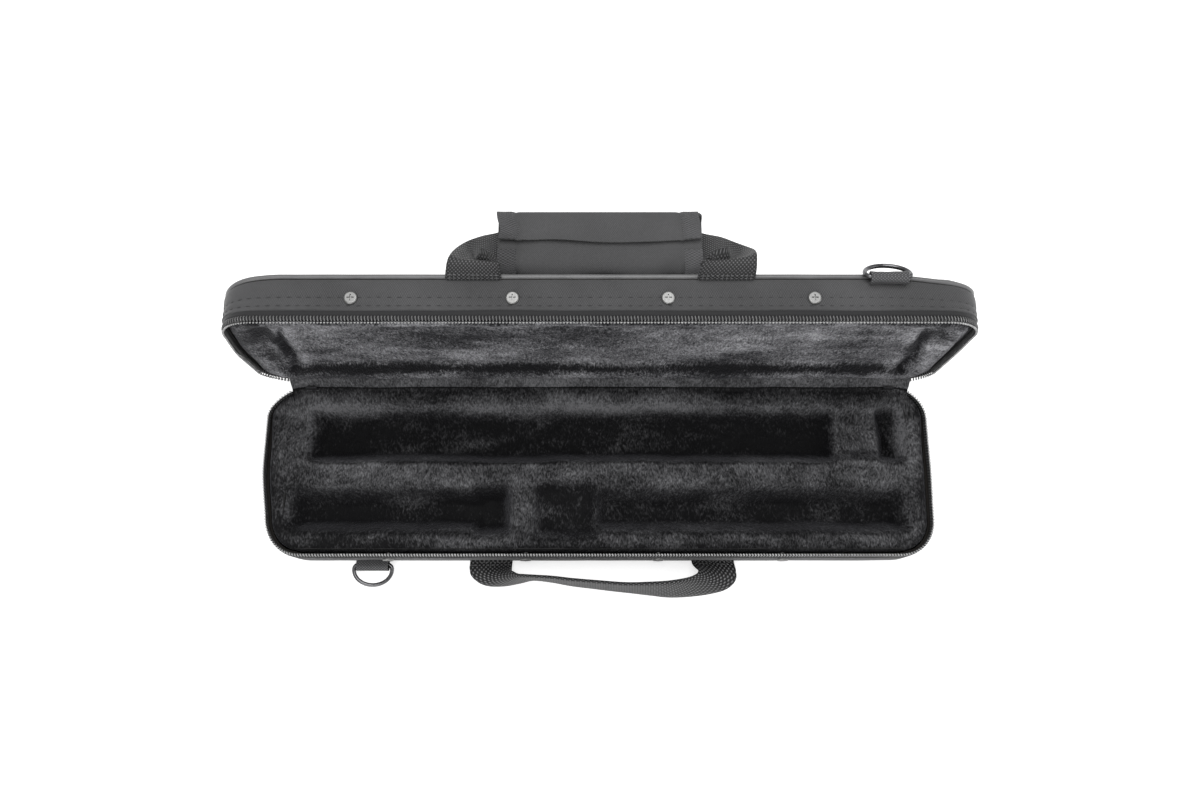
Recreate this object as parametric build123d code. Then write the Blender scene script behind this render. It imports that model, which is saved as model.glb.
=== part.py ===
from build123d import *
import os
from math import cos, radians, sin

# Flute case: two equal rigid trays under woven nylon, joined by a fabric spine at the back and
# closed by a coil zip, lined with plush over shaped foam. Millimetres. The origin is the middle of
# the base's underside, +X runs to the right, +Y to the hinge, +Z up. The lid stands open at rest.

# ---------------------------------------------------------------- driving dimensions
case_length = 405.0
case_depth = 107.5
half_height = 27.5            # underside to the parting plane, and the parting plane to the lid's top
corner_radius = 22.0          # corners seen from above
lid_open_angle = 91.0         # how far the lid stands open at rest

fabric = 0.75                 # woven cover
glue_gap = 0.05               # between fabric and shell
shell_wall = 3.0
shell_chamfer = 3.5           # around the outer edge, under the piping
piping_radius = 1.4
piping_inset = 1.5            # centre of the cord, from the wall and from the outer face

zip_band = 5.6                # from the cover's edge to the parting plane
tape_thickness = 0.8
tape_inset = 0.7
coil_inset = 0.1
coil_thickness = 2.2
coil_height = 2.4
coil_drop = 0.5               # from the coil to the parting plane
zip_end_angle = 30.0          # of each back corner that the zip leaves free
spine_clearance = 0.3         # each half of the spine stops short of the parting plane
spine_slider_gap = 0.3        # from the spine's end to a parked slider

lining_inset = 4.8
lining_drop = 1.0             # from the plush to the parting plane
plush = 1.5
foam_gap = 0.2
well_corner = 7.0
well_flat = 1.0               # least half length left between a well's corners
well_draft = 4.0              # how far a well's wall leans in over its depth
well_floor_bevel = 3.5
left_ledge = 11.5
right_ledge = 13.5
front_ledge = 15.0
back_ledge = 12.0
front_well_width = 29.0
well_gap = 13.5               # ridge between the front wells and the body well
ridge_drop = 2.0
well_depth = 19.0
foot_well_length = 139.0
foot_bulb_length = 30.0
foot_bulb_extra = 2.5
divider_length = 11.0
lip_well_length = 41.0
lip_well_extra = 4.5          # the lip plate's well is wider than the tube's on each side
lip_well_depth = 11.0
body_well_left_extra = 8.0
body_end_slot = 14.0
body_saddle = 26.0
saddle_depth = 9.0
lid_border = 9.0
lid_recess_depth = 8.0
lid_recess_draft = 6.0

end_screws = (73.0, 91.0)     # the outer screws, from the case's left and right ends
inner_screws = (-45.5, 35.5)  # from the middle
screw_drop = 13.4             # from the parting plane to the screws
screw_head_radius = 3.65
screw_head_height = 1.3
screw_head_round = 0.9
screw_shank_radius = 1.5
screw_clearance = 0.05
screw_recess = (3.6, 0.7, 0.8)  # length, width and depth of each arm of the cross

ring_wire = 1.2               # radius
ring_width = 26.0
ring_height = 15.0
ring_corner = 3.0
ring_side = 3.3               # straight side between the corner and the bow
tab_width = 18.6
tab_reach = 7.0
tab_height = 4.4
tab_wall = 0.75
tab_back = 0.95               # cloth between the wall and the ring's bar
tab_drop = 3.6                # from the outer face to the middle of the tab
base_ring_from_end = 61.5     # from the case's left end
base_bar_reach = 2.4          # from the wall to the ring's bar
base_ring_angle = 9.0         # below level
lid_ring_from_end = 52.5      # from the case's right end
lid_bar_reach = 4.0
lid_ring_angle = 50.0         # above the closed lid's top, leaning back over the edge

strap_width = 25.0
strap_thickness = 1.6
strap_half_span = 67.5
strap_wall_gap = 0.85
strap_lift = 0.6              # lowest edge of the hanging base strap, above the underside
base_strap_root = 3.2         # height of the base strap's root above the underside
lid_strap_root = 2.9          # distance of the lid strap's root below the lid's outer face

# the left half of each strap: where its middle lies from its root, and the way its width points
base_strap_curl = (
    ((0.0, 0.0, 0.0), (1, 0, 0)),
    ((0.0, -3.5, 0.1), (1, 0, 0)),
    ((2.0, -8.5, 2.6), (0.94, 0.05, 0.34)),
    ((9.0, -13.0, 7.4), (0.65, 0.1, 0.76)),
)
base_strap_run = (            # along X and Y only: from here on the strap stands on its edge
    ((21.0, -15.5), (0.25, 0.1, 0.96)),
    ((38.0, -16.2), (0, 0.12, 0.99)),
)
base_strap_bow = 16.5         # from the root out to the strap's middle
lid_strap_curl = (
    ((0.0, 0.0, 0.0), (1, 0, 0)),
    ((0.0, -3.5, 1.5), (1, 0, 0)),
    ((0.5, -8.0, 7.0), (0.97, 0, 0.22)),
    ((3.0, -7.5, 14.5), (0.82, 0.15, 0.55)),
    ((7.5, 0.0, 21.5), (0.5, 0.25, 0.83)),
)

wrap_length = 105.0
wrap_width = 34.0
wrap_height = 12.4
wrap_bore = (27.0, 5.0)
wrap_back = 12.5              # from the strap's root to the middle of the wrap
wrap_rise = 26.0
wrap_mouth = 2.5              # from the wrap's end to where the strap starts to flatten
wrap_flattening = 14.0        # length over which it does
flap_length = 12.35
flap_thickness = 2.0
flap_shoulder_gap = 1.25
shoulder_extra = 0.4
fastener_thickness = 0.8      # hook strip and loop strip
fastener_margin = 1.2
fastener_end_margin = 10.0
binding = 0.4
binding_width = 9.0

slider_length = 7.0
slider_height = 5.2
slider_plate = 0.9
slider_outer_gap = 0.3
slider_inner_gap = 0.5
slider_wedge = 0.6            # between the two coils
slider_wedge_length = 2.3
slider_corner = 1.0
arch_width = 1.4
arch_leg = 0.9
arch_gap = 1.5
arch_margin = 0.15            # the arch stays this far inside the slider's height
arch_beam = 0.9
pull_bar = 0.9
pull_eye_side = 1.2
pull_eye_margin = 0.4
pull_eye_drop = 3.4
pull_width = 5.6
pull_length = 20.0
pull_hole_radius = 1.0

# ---------------------------------------------------------------- places worked out from them
wall_top = half_height - zip_band
shell_outer = fabric + glue_gap
shell_inner = shell_outer + shell_wall
lining_top = half_height - lining_drop
front = -case_depth / 2
back = case_depth / 2
corner_x = case_length / 2 - corner_radius
zip_end_x = corner_x + corner_radius * sin(radians(zip_end_angle))
spine_end_x = corner_x - slider_length / 2 - spine_slider_gap
past = 1.0                    # how far cutting tools run past what they cut
base_ring_x = base_ring_from_end - case_length / 2
lid_ring_x = case_length / 2 - lid_ring_from_end
screw_positions = (end_screws[0] - case_length / 2, *inner_screws, case_length / 2 - end_screws[1])


# ---------------------------------------------------------------- shared shapes
def slab(inset, low, high):
    """The case's plan outline, drawn in by inset, between two heights."""
    size = (case_length - 2 * inset, case_depth - 2 * inset)
    return Pos(0, 0, low) * extrude(RectangleRounded(*size, corner_radius - inset), amount=high - low)


def band(outer_inset, inner_inset, low, high):
    """An upright wall that follows the plan outline."""
    return slab(outer_inset, low, high) - slab(inner_inset, low - past, high + past)


def box_between(low, high):
    """A box from its lowest to its highest corner."""
    size = [b - a for a, b in zip(low, high)]
    return Pos(*low) * Box(*size, align=(Align.MIN, Align.MIN, Align.MIN))


def open_lid(shape):
    """Turn a piece of the closed lid about the hinge line to where the open lid stands."""
    return shape.rotate(Axis((0, back, half_height), (1, 0, 0)), -lid_open_angle)


def to_lid(shape):
    """Mirror a piece of the base across the parting plane, and open it with the lid."""
    return open_lid(mirror(shape, about=Plane.XY.offset(half_height)))


# ---------------------------------------------------------------- pieces that both halves share
def screw_tools():
    """Holes through the front wall for the screws."""
    radius = screw_shank_radius + screw_clearance
    hole = Rot(X=90) * Cylinder(radius, 4 * shell_wall)
    return [Pos(x, front, half_height - screw_drop) * hole for x in screw_positions]


def half_shell():
    """Rigid tray, chamfered where the piping runs."""
    outside = slab(shell_outer, shell_outer, wall_top)
    outside = chamfer(outside.faces().sort_by(Axis.Z)[0].edges(), shell_chamfer)
    return outside - slab(shell_inner, shell_inner, wall_top + past) - screw_tools()


def half_side_cover():
    """Woven band around the tray's wall."""
    low = piping_inset + piping_radius + 2 * glue_gap
    return band(0, fabric, low, wall_top) - screw_tools()


def half_panel():
    """Woven panel on the tray's outer face."""
    return slab(piping_inset + piping_radius + glue_gap, 0, fabric)


def half_piping():
    """Corded edge between the panel and the side cover."""
    size = (case_length - 2 * piping_inset, case_depth - 2 * piping_inset)
    path = Pos(0, 0, piping_inset) * RectangleRounded(*size, corner_radius - piping_inset).wire()
    start = Plane(origin=path @ 0, z_dir=path % 0)
    return sweep(start * Circle(piping_radius), path=path)


def without_zip_gap(ring):
    """Take a zip band's stretch away along the back, where the spine and the sliders are."""
    low = (-zip_end_x, back - corner_radius / 2, 0)
    return ring - box_between(low, (zip_end_x, back + past, half_height))


def half_zip_tape():
    """Cloth between the cover's edge and the coil."""
    high = half_height - coil_drop - coil_height - glue_gap
    return without_zip_gap(band(tape_inset, tape_inset + tape_thickness, wall_top + glue_gap, high))


def half_zip_coil():
    """One row of the zip, from one back corner round the front to the other."""
    high = half_height - coil_drop
    return without_zip_gap(band(coil_inset, coil_inset + coil_thickness, high - coil_height, high))


def half_spine():
    """One half of the fabric hinge, on the back wall."""
    strip = band(0, fabric, wall_top, half_height - spine_clearance)
    low = (-spine_end_x, back - corner_radius / 2, 0)
    return strip & box_between(low, (spine_end_x, back + past, half_height))


def screws():
    """Truss-head screws with a cross recess, through the cover into the front wall."""
    head = Cylinder(screw_head_radius, screw_head_height, align=(Align.CENTER, Align.CENTER, Align.MIN))
    head = fillet(head.edges().sort_by(Axis.Z)[-1], screw_head_round)
    shank_length = shell_inner - foam_gap
    shank = Cylinder(screw_shank_radius, shank_length, align=(Align.CENTER, Align.CENTER, Align.MAX))
    length, width, depth = screw_recess
    arm = Pos(0, 0, screw_head_height) * Box(length, width, 2 * depth)
    screw = Rot(X=90) * (head + shank - arm - Rot(Z=90) * arm)
    return Compound([Pos(x, front, half_height - screw_drop) * screw for x in screw_positions])


# ---------------------------------------------------------------- foam and plush
def well(x_low, x_high, y_low, y_high, depth, grow, draft=well_draft):
    """A rounded well sunk from the top of the plush; grow widens and deepens it evenly."""
    floor = lining_top - depth - grow
    lean = draft / depth
    bevel = min(well_floor_bevel, depth / 2)
    levels = ((lining_top + past, -lean * past), (floor + bevel, draft - lean * bevel),
              (floor, draft + bevel / 2))
    sections = []
    for height, inset in levels:
        size = (x_high - x_low + 2 * (grow - inset), y_high - y_low + 2 * (grow - inset))
        middle = Pos((x_low + x_high) / 2, (y_low + y_high) / 2, height)
        radius = min(well_corner + grow - inset / 2, size[0] / 2 - well_flat, size[1] / 2 - well_flat)
        sections.append(middle * RectangleRounded(*size, radius))
    return loft(sections, ruled=True)


def base_wells(grow):
    """The wells of the base: body joint at the back, foot joint and head joint in front."""
    left, right = left_ledge - case_length / 2, case_length / 2 - right_ledge
    low_y = front + front_ledge
    mid_y = low_y + front_well_width
    body_y = mid_y + well_gap
    high_y = back - back_ledge
    body_left = left + body_well_left_extra
    saddle_x = right - body_end_slot - body_saddle
    foot_right = left + foot_well_length
    lip_left = foot_right + divider_length
    lip_right = lip_left + lip_well_length
    wide = lip_well_extra
    return [
        well(left, right, low_y - ridge_drop, high_y + ridge_drop, ridge_drop, grow, ridge_drop),
        well(body_left, saddle_x, body_y, high_y, well_depth, grow),
        well(saddle_x - well_corner, right, body_y, high_y, saddle_depth, grow),
        well(right - body_end_slot - well_draft, right, body_y, high_y, well_depth, grow),
        well(left, foot_right, low_y, mid_y, well_depth, grow),
        well(foot_right - foot_bulb_length, foot_right, low_y - foot_bulb_extra,
             mid_y + foot_bulb_extra, well_depth, grow),
        well(lip_left, lip_right, low_y - wide, mid_y + wide, lip_well_depth, grow),
        well(lip_right - well_corner, right, low_y, mid_y, well_depth, grow),
    ]


def lid_wells(grow):
    """The single shallow recess of the lid."""
    half_x, half_y = case_length / 2 - lid_border, case_depth / 2 - lid_border
    return [well(-half_x, half_x, -half_y, half_y, lid_recess_depth, grow, lid_recess_draft)]


def half_foam(wells):
    """Shaped foam block on the tray's floor."""
    block = slab(lining_inset, shell_inner, lining_top - plush - foam_gap)
    return block - wells(plush + foam_gap)


def half_lining(wells):
    """Plush skin over the foam and down into its wells."""
    skin = slab(lining_inset, lining_top - plush, lining_top)
    limit = slab(lining_inset, shell_inner + foam_gap, lining_top)
    for deep in wells(plush):
        skin = skin + (deep & limit)
    return skin - wells(0)


# ---------------------------------------------------------------- rings and their tabs
def ring_tab(x):
    """Webbing folded into a loop, sewn into the seam at the front, with a slot for the ring's bar."""
    nose = tab_height / 2
    slot_height = tab_height - 2 * tab_wall
    outer = Pos(tab_reach / 2 - nose / 2, 0) * Rectangle(tab_reach - nose, tab_height)
    outer += Pos(tab_reach - nose, 0) * Circle(nose)
    slot_length = tab_reach - tab_back - tab_wall
    inner = Pos(tab_back + slot_length / 2, 0) * SlotOverall(slot_length, slot_height)
    section = Plane(origin=(x, front, tab_drop), x_dir=(0, -1, 0), z_dir=(1, 0, 0)) * (outer - inner)
    return extrude(section, amount=tab_width / 2, both=True)


def d_ring(centre, direction):
    """A closed D of round wire: the bar's middle at centre, the bow towards direction."""
    half = ring_width / 2 - ring_wire
    bow = ring_height - 2 * ring_wire - ring_side
    corner = ring_corner
    path = Wire([
        Line((-half + corner, 0), (half - corner, 0)),
        CenterArc((half - corner, corner), corner, -90, 90),
        Line((half, corner), (half, ring_side)),
        EllipticalCenterArc((0, ring_side), half, bow, start_angle=0, arc_size=180),
        Line((-half, ring_side), (-half, corner)),
        CenterArc((-half + corner, corner), corner, 180, 90),
    ])
    wire = sweep(Plane(origin=path @ 0, z_dir=path % 0) * Circle(ring_wire), path=path)
    normal = Vector(1, 0, 0).cross(Vector(*direction))
    return Plane(origin=centre, x_dir=(1, 0, 0), z_dir=normal) * wire


def base_ring():
    """The base's ring lies out from the front seam."""
    angle = radians(base_ring_angle)
    centre = (base_ring_x, front - base_bar_reach, tab_drop)
    return d_ring(centre, (0, -cos(angle), -sin(angle)))


def lid_ring():
    """The lid's ring leans back over the lid's edge."""
    angle = radians(lid_ring_angle)
    centre = (lid_ring_x, front - lid_bar_reach, 2 * half_height - tab_drop)
    return d_ring(centre, (0, cos(angle), sin(angle)))


# ---------------------------------------------------------------- straps
def strap(left_half):
    """A flat strap through stations of (middle, direction of its width), mirrored left to right."""
    right_half = [((-c[0], c[1], c[2]), (-w[0], w[1], w[2])) for c, w in reversed(left_half[:-1])]
    stations = left_half + right_half
    sections = []
    for i, (centre, width) in enumerate(stations):
        before = Vector(*stations[max(i - 1, 0)][0])
        after = Vector(*stations[min(i + 1, len(stations) - 1)][0])
        along = (after - before).normalized()
        across = Vector(*width).normalized()
        facing = (along - across * along.dot(across)).normalized()
        section = Plane(origin=centre, x_dir=across, z_dir=facing)
        sections.append(section * Rectangle(strap_width, strap_thickness))
    return loft(sections, ruled=True)


def curl(root, points):
    """Stations of a strap's curl, from its root."""
    return [(tuple(r + o for r, o in zip(root, offset)), width) for offset, width in points]


def base_strap():
    """The base's carrying strap: out of the front seam, then on edge along the front wall."""
    x, y, z = -strap_half_span, front - strap_wall_gap, base_strap_root
    standing = strap_width / 2 + strap_lift
    run = [((x + offset[0], y + offset[1], standing), width) for offset, width in base_strap_run]
    middle = ((0, y - base_strap_bow, standing), base_strap_run[-1][1])
    return strap(curl((x, y, z), base_strap_curl) + run + [middle])


def wrap_middle():
    """Middle of the padded wrap, on the closed lid."""
    root = 2 * half_height - lid_strap_root
    return front - strap_wall_gap + wrap_back, root + wrap_rise


def lid_strap():
    """The lid's carrying strap: it curls out of the seam and turns flat into the wrap."""
    root = (-strap_half_span, front - strap_wall_gap, 2 * half_height - lid_strap_root)
    wrap_y, wrap_z = wrap_middle()
    mouth = -wrap_length / 2 - wrap_mouth
    return strap(curl(root, lid_strap_curl) + [
        ((mouth, wrap_y - strap_thickness / 2, wrap_z), (0.1, 0.05, 0.99)),
        ((mouth + wrap_flattening, wrap_y, wrap_z), (0, 0, 1)),
        ((0, wrap_y, wrap_z), (0, 0, 1)),
    ])


# ---------------------------------------------------------------- padded wrap
def on_wrap(sketch, length):
    """Run a section of the wrap along the handle. Its x is up the closed lid, its y out in front."""
    wrap_y, wrap_z = wrap_middle()
    section = Plane(origin=(0, wrap_y, wrap_z), x_dir=(0, 0, 1), z_dir=(1, 0, 0)) * sketch
    return extrude(section, amount=length / 2, both=True)


def rectangle_between(x_low, x_high, y_low, y_high):
    """A rectangle from its lowest to its highest corner."""
    middle = Pos((x_low + x_high) / 2, (y_low + y_high) / 2)
    return middle * Rectangle(x_high - x_low, y_high - y_low)


wrap_top = wrap_height / 2
flap_low = wrap_top + 2 * fastener_thickness
flap_high = flap_low + flap_thickness


def wrap_sleeve():
    """Padded sleeve around the strap, with the shoulder that the flap grows out of."""
    outline = SlotOverall(wrap_width, wrap_height)
    start = flap_length + flap_shoulder_gap
    shoulder = rectangle_between(start, wrap_width / 2 + shoulder_extra, 0, flap_high)
    shoulder = fillet(shoulder.vertices().sort_by(Axis.X)[-2:], shoulder_extra + 1)
    return on_wrap(outline + shoulder - SlotOverall(*wrap_bore), wrap_length)


def wrap_loop_strip():
    """Loop half of the wrap's fastener, on the sleeve."""
    low, high = fastener_margin, flap_length - fastener_margin
    section = rectangle_between(low, high, wrap_top, wrap_top + fastener_thickness)
    return on_wrap(section, wrap_length - 2 * fastener_end_margin)


def wrap_hook_strip():
    """Hook half of the wrap's fastener, under the flap."""
    low, high = fastener_margin, flap_length - fastener_margin
    section = rectangle_between(low, high, wrap_top + fastener_thickness, flap_low)
    return on_wrap(section, wrap_length - 2 * fastener_end_margin)


def wrap_flap():
    """The wrap's closing flap."""
    section = rectangle_between(0, flap_length, flap_low, flap_high)
    section = fillet(section.vertices().sort_by(Axis.X)[:2], flap_thickness / 3)
    return on_wrap(section, wrap_length)


def both_ends(piece):
    """A binding at the wrap's left end and its copy at the right end."""
    shift = (wrap_length - binding_width) / 2
    return Compound([Pos(-shift, 0, 0) * piece, Pos(shift, 0, 0) * piece])


def wrap_bindings():
    """Tapes that bind the sleeve's two ends, below the flap."""
    outer = SlotOverall(wrap_width + 2 * binding + 2 * glue_gap, wrap_height + 2 * binding + 2 * glue_gap)
    inner = SlotOverall(wrap_width + 2 * glue_gap, wrap_height + 2 * glue_gap)
    section = (outer - inner) & rectangle_between(-wrap_width, -binding, -wrap_width, wrap_width)
    return both_ends(on_wrap(section, binding_width))


def flap_bindings():
    """Tapes that bind the flap's two ends."""
    low = flap_thickness / 3
    section = rectangle_between(low, flap_length - low, flap_high, flap_high + binding)
    return both_ends(on_wrap(section, binding_width))


# ---------------------------------------------------------------- zip sliders and their pulls
outer_plate_low = slider_outer_gap - coil_inset
outer_plate_high = outer_plate_low + slider_plate
beam_low = outer_plate_high + arch_gap
inner_plate_high = -coil_inset - coil_thickness - slider_inner_gap
pull_axis = outer_plate_high + arch_gap / 2


def centred_box(x, y_low, y_high, z_low, z_high, x_middle=0.0):
    """A box of width x about x_middle, between two places in y and in z."""
    half = x / 2
    return box_between((x_middle - half, y_low, z_low), (x_middle + half, y_high, z_high))


def slider_shape(side):
    """Slider at the origin, its travel along X towards side, the wall's outer face at y = 0."""
    half = slider_height / 2
    outer = centred_box(slider_length, outer_plate_low, outer_plate_high, -half, half)
    inner = centred_box(slider_length, inner_plate_high - slider_plate, inner_plate_high, -half, half)
    outer = fillet(outer.edges().filter_by(Axis.Y), slider_corner)
    inner = fillet(inner.edges().filter_by(Axis.Y), slider_corner)
    wedge_x = side * (slider_length - slider_wedge_length) / 2
    wedge = centred_box(slider_wedge_length, inner_plate_high, outer_plate_low,
                        -slider_wedge / 2, slider_wedge / 2, wedge_x)
    arch_half = half - arch_margin
    beam = centred_box(arch_width, beam_low, beam_low + arch_beam, -arch_half, arch_half)
    legs = [centred_box(arch_width, outer_plate_high, beam_low, low, low + arch_leg)
            for low in (-arch_half, arch_half - arch_leg)]
    return outer + inner + wedge + beam + legs


def pull_shape():
    """Pull tab hanging from the arch by its eye."""
    low, high = pull_axis - pull_bar / 2, pull_axis + pull_bar / 2
    eye_half = arch_width / 2 + pull_eye_margin
    eye_width = 2 * (eye_half + pull_eye_side)
    frame = centred_box(eye_width, low, high, -pull_eye_drop - past, pull_bar / 2)
    frame -= centred_box(2 * eye_half, low - past, high + past, -pull_eye_drop, -pull_bar / 2)
    tab = centred_box(pull_width, low, high, -pull_length, -pull_eye_drop - past / 2)
    tab = fillet(tab.edges().filter_by(Axis.Y), pull_width / 4)
    hole = Rot(X=90) * Cylinder(pull_hole_radius, 4 * high)
    return frame + tab - Pos(0, pull_axis, -pull_length + 2 * pull_hole_radius + past) * hole


def at_slider(shape, side):
    """Put a slider's piece at the end of the zip, on the left (side -1) or the right (side 1)."""
    return Pos(side * corner_x, back, half_height) * shape


# ---------------------------------------------------------------- the whole case
parts = {
    "base_shell": half_shell(),
    "base_side_cover": half_side_cover(),
    "base_bottom_panel": half_panel(),
    "base_piping": half_piping(),
    "base_foam_insert": half_foam(base_wells),
    "base_plush_lining": half_lining(base_wells),
    "base_zip_tape": half_zip_tape(),
    "base_zip_coil": half_zip_coil(),
    "base_spine_strip": half_spine(),
    "base_screws": screws(),
    "base_ring_tab": ring_tab(base_ring_x),
    "base_d_ring": base_ring(),
    "base_handle_strap": base_strap(),
    "lid_shell": to_lid(half_shell()),
    "lid_side_cover": to_lid(half_side_cover()),
    "lid_top_panel": to_lid(half_panel()),
    "lid_piping": to_lid(half_piping()),
    "lid_foam_pad": to_lid(half_foam(lid_wells)),
    "lid_plush_lining": to_lid(half_lining(lid_wells)),
    "lid_zip_tape": to_lid(half_zip_tape()),
    "lid_zip_coil": to_lid(half_zip_coil()),
    "lid_spine_strip": to_lid(half_spine()),
    "lid_screws": to_lid(screws()),
    "lid_ring_tab": to_lid(ring_tab(lid_ring_x)),
    "lid_d_ring": open_lid(lid_ring()),
    "lid_handle_strap": open_lid(lid_strap()),
    "handle_wrap": open_lid(wrap_sleeve()),
    "wrap_loop_strip": open_lid(wrap_loop_strip()),
    "wrap_end_bindings": open_lid(wrap_bindings()),
    "wrap_flap": open_lid(wrap_flap()),
    "wrap_hook_strip": open_lid(wrap_hook_strip()),
    "flap_end_bindings": open_lid(flap_bindings()),
    "left_zip_slider": at_slider(slider_shape(-1), -1),
    "left_zip_pull": at_slider(pull_shape(), -1),
    "right_zip_slider": at_slider(slider_shape(1), 1),
    "right_zip_pull": at_slider(pull_shape(), 1),
}

os.makedirs("parts", exist_ok=True)
for node, shape in parts.items():
    export_step(shape, f"parts/{node}.step")
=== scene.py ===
"""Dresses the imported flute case: woven cover, coil zip, plush lining, straps, padded wrap and fittings.

Lengths are millimetres until a piece is finished, when its mesh is written in metres. The lid's pieces
are built in the base's place, mirrored across the parting plane and opened with the lid.
"""
import logging
from bisect import bisect
from collections.abc import Callable, Iterable, Sequence
from dataclasses import dataclass, field
from enum import Enum
from functools import partial
from math import atan2, cos, exp, hypot, pi, radians, sin, sqrt

import bmesh
import bpy
from mathutils import Euler, Matrix, Vector, noise


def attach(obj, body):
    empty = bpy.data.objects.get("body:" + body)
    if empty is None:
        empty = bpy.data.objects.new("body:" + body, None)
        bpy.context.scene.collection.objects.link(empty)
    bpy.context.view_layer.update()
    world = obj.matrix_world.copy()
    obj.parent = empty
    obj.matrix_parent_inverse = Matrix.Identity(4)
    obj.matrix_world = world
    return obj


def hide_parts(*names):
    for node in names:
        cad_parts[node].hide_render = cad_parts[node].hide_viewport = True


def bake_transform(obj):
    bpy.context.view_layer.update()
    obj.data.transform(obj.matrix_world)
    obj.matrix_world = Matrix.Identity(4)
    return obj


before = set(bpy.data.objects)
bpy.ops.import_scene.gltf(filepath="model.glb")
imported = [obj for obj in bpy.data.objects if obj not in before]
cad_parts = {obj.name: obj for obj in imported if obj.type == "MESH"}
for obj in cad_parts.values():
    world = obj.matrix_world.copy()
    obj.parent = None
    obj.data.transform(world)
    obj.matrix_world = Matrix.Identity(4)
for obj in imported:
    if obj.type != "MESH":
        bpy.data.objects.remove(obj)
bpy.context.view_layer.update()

LOG = logging.getLogger("flute_case")
MM = 0.001
CLOTH_MAP = "cloth"
# The plush's second map holds its painted light and shade, per point.
PAINTED_LIGHT_MAP = "pile"
UP = Vector((0, 0, 1))
WELD = 1e-3
FINE_WELD = 1e-4
Place = Callable[[float, float], Vector]
Way = tuple[Vector, Vector]
Track = tuple[Vector, Vector, Vector]
Colour = tuple[float, float, float]


# ---------------------------------------------------------------- the case and its two halves
class Half(Enum):
    """The two halves of the case, by the body that carries each one."""

    BASE = "base"
    LID = "lid"


class Side(Enum):
    """The two ends of the case, as the sign of X."""

    LEFT = -1
    RIGHT = 1


@dataclass(frozen=True)
class CaseSize:
    """Sizes that both halves share."""

    length: float = 405.0
    depth: float = 107.5
    half_height: float = 27.5
    corner: float = 22.0
    open_angle: float = 91.0
    zip_end_angle: float = 30.0

    @property
    def back(self) -> float:
        """Y of the back wall and of the hinge line."""
        return self.depth / 2

    @property
    def front(self) -> float:
        """Y of the front wall."""
        return -self.depth / 2

    def opened(self) -> Matrix:
        """The turn that takes the closed lid to where it stands open."""
        hinge = Matrix.Translation((0, self.back, self.half_height))
        return hinge @ Matrix.Rotation(-radians(self.open_angle), 4, "X") @ hinge.inverted()

    def place(self, half: Half) -> Matrix:
        """Where a piece built in the base goes.

        Args:
            half: the half that carries the piece.

        Returns:
            The identity for the base, and the mirrored and opened place for the lid.
        """
        if half is Half.BASE:
            return Matrix.Identity(4)
        lift = Matrix.Translation((0, 0, self.half_height))
        return self.opened() @ lift @ Matrix.Diagonal((1, 1, -1, 1)) @ lift.inverted()


CASE = CaseSize()


@dataclass(frozen=True)
class Sag:
    """How far a front corner's outer face has gone in, and where that starts and ends along the wall."""

    start: float
    end: float
    most: float


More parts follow.
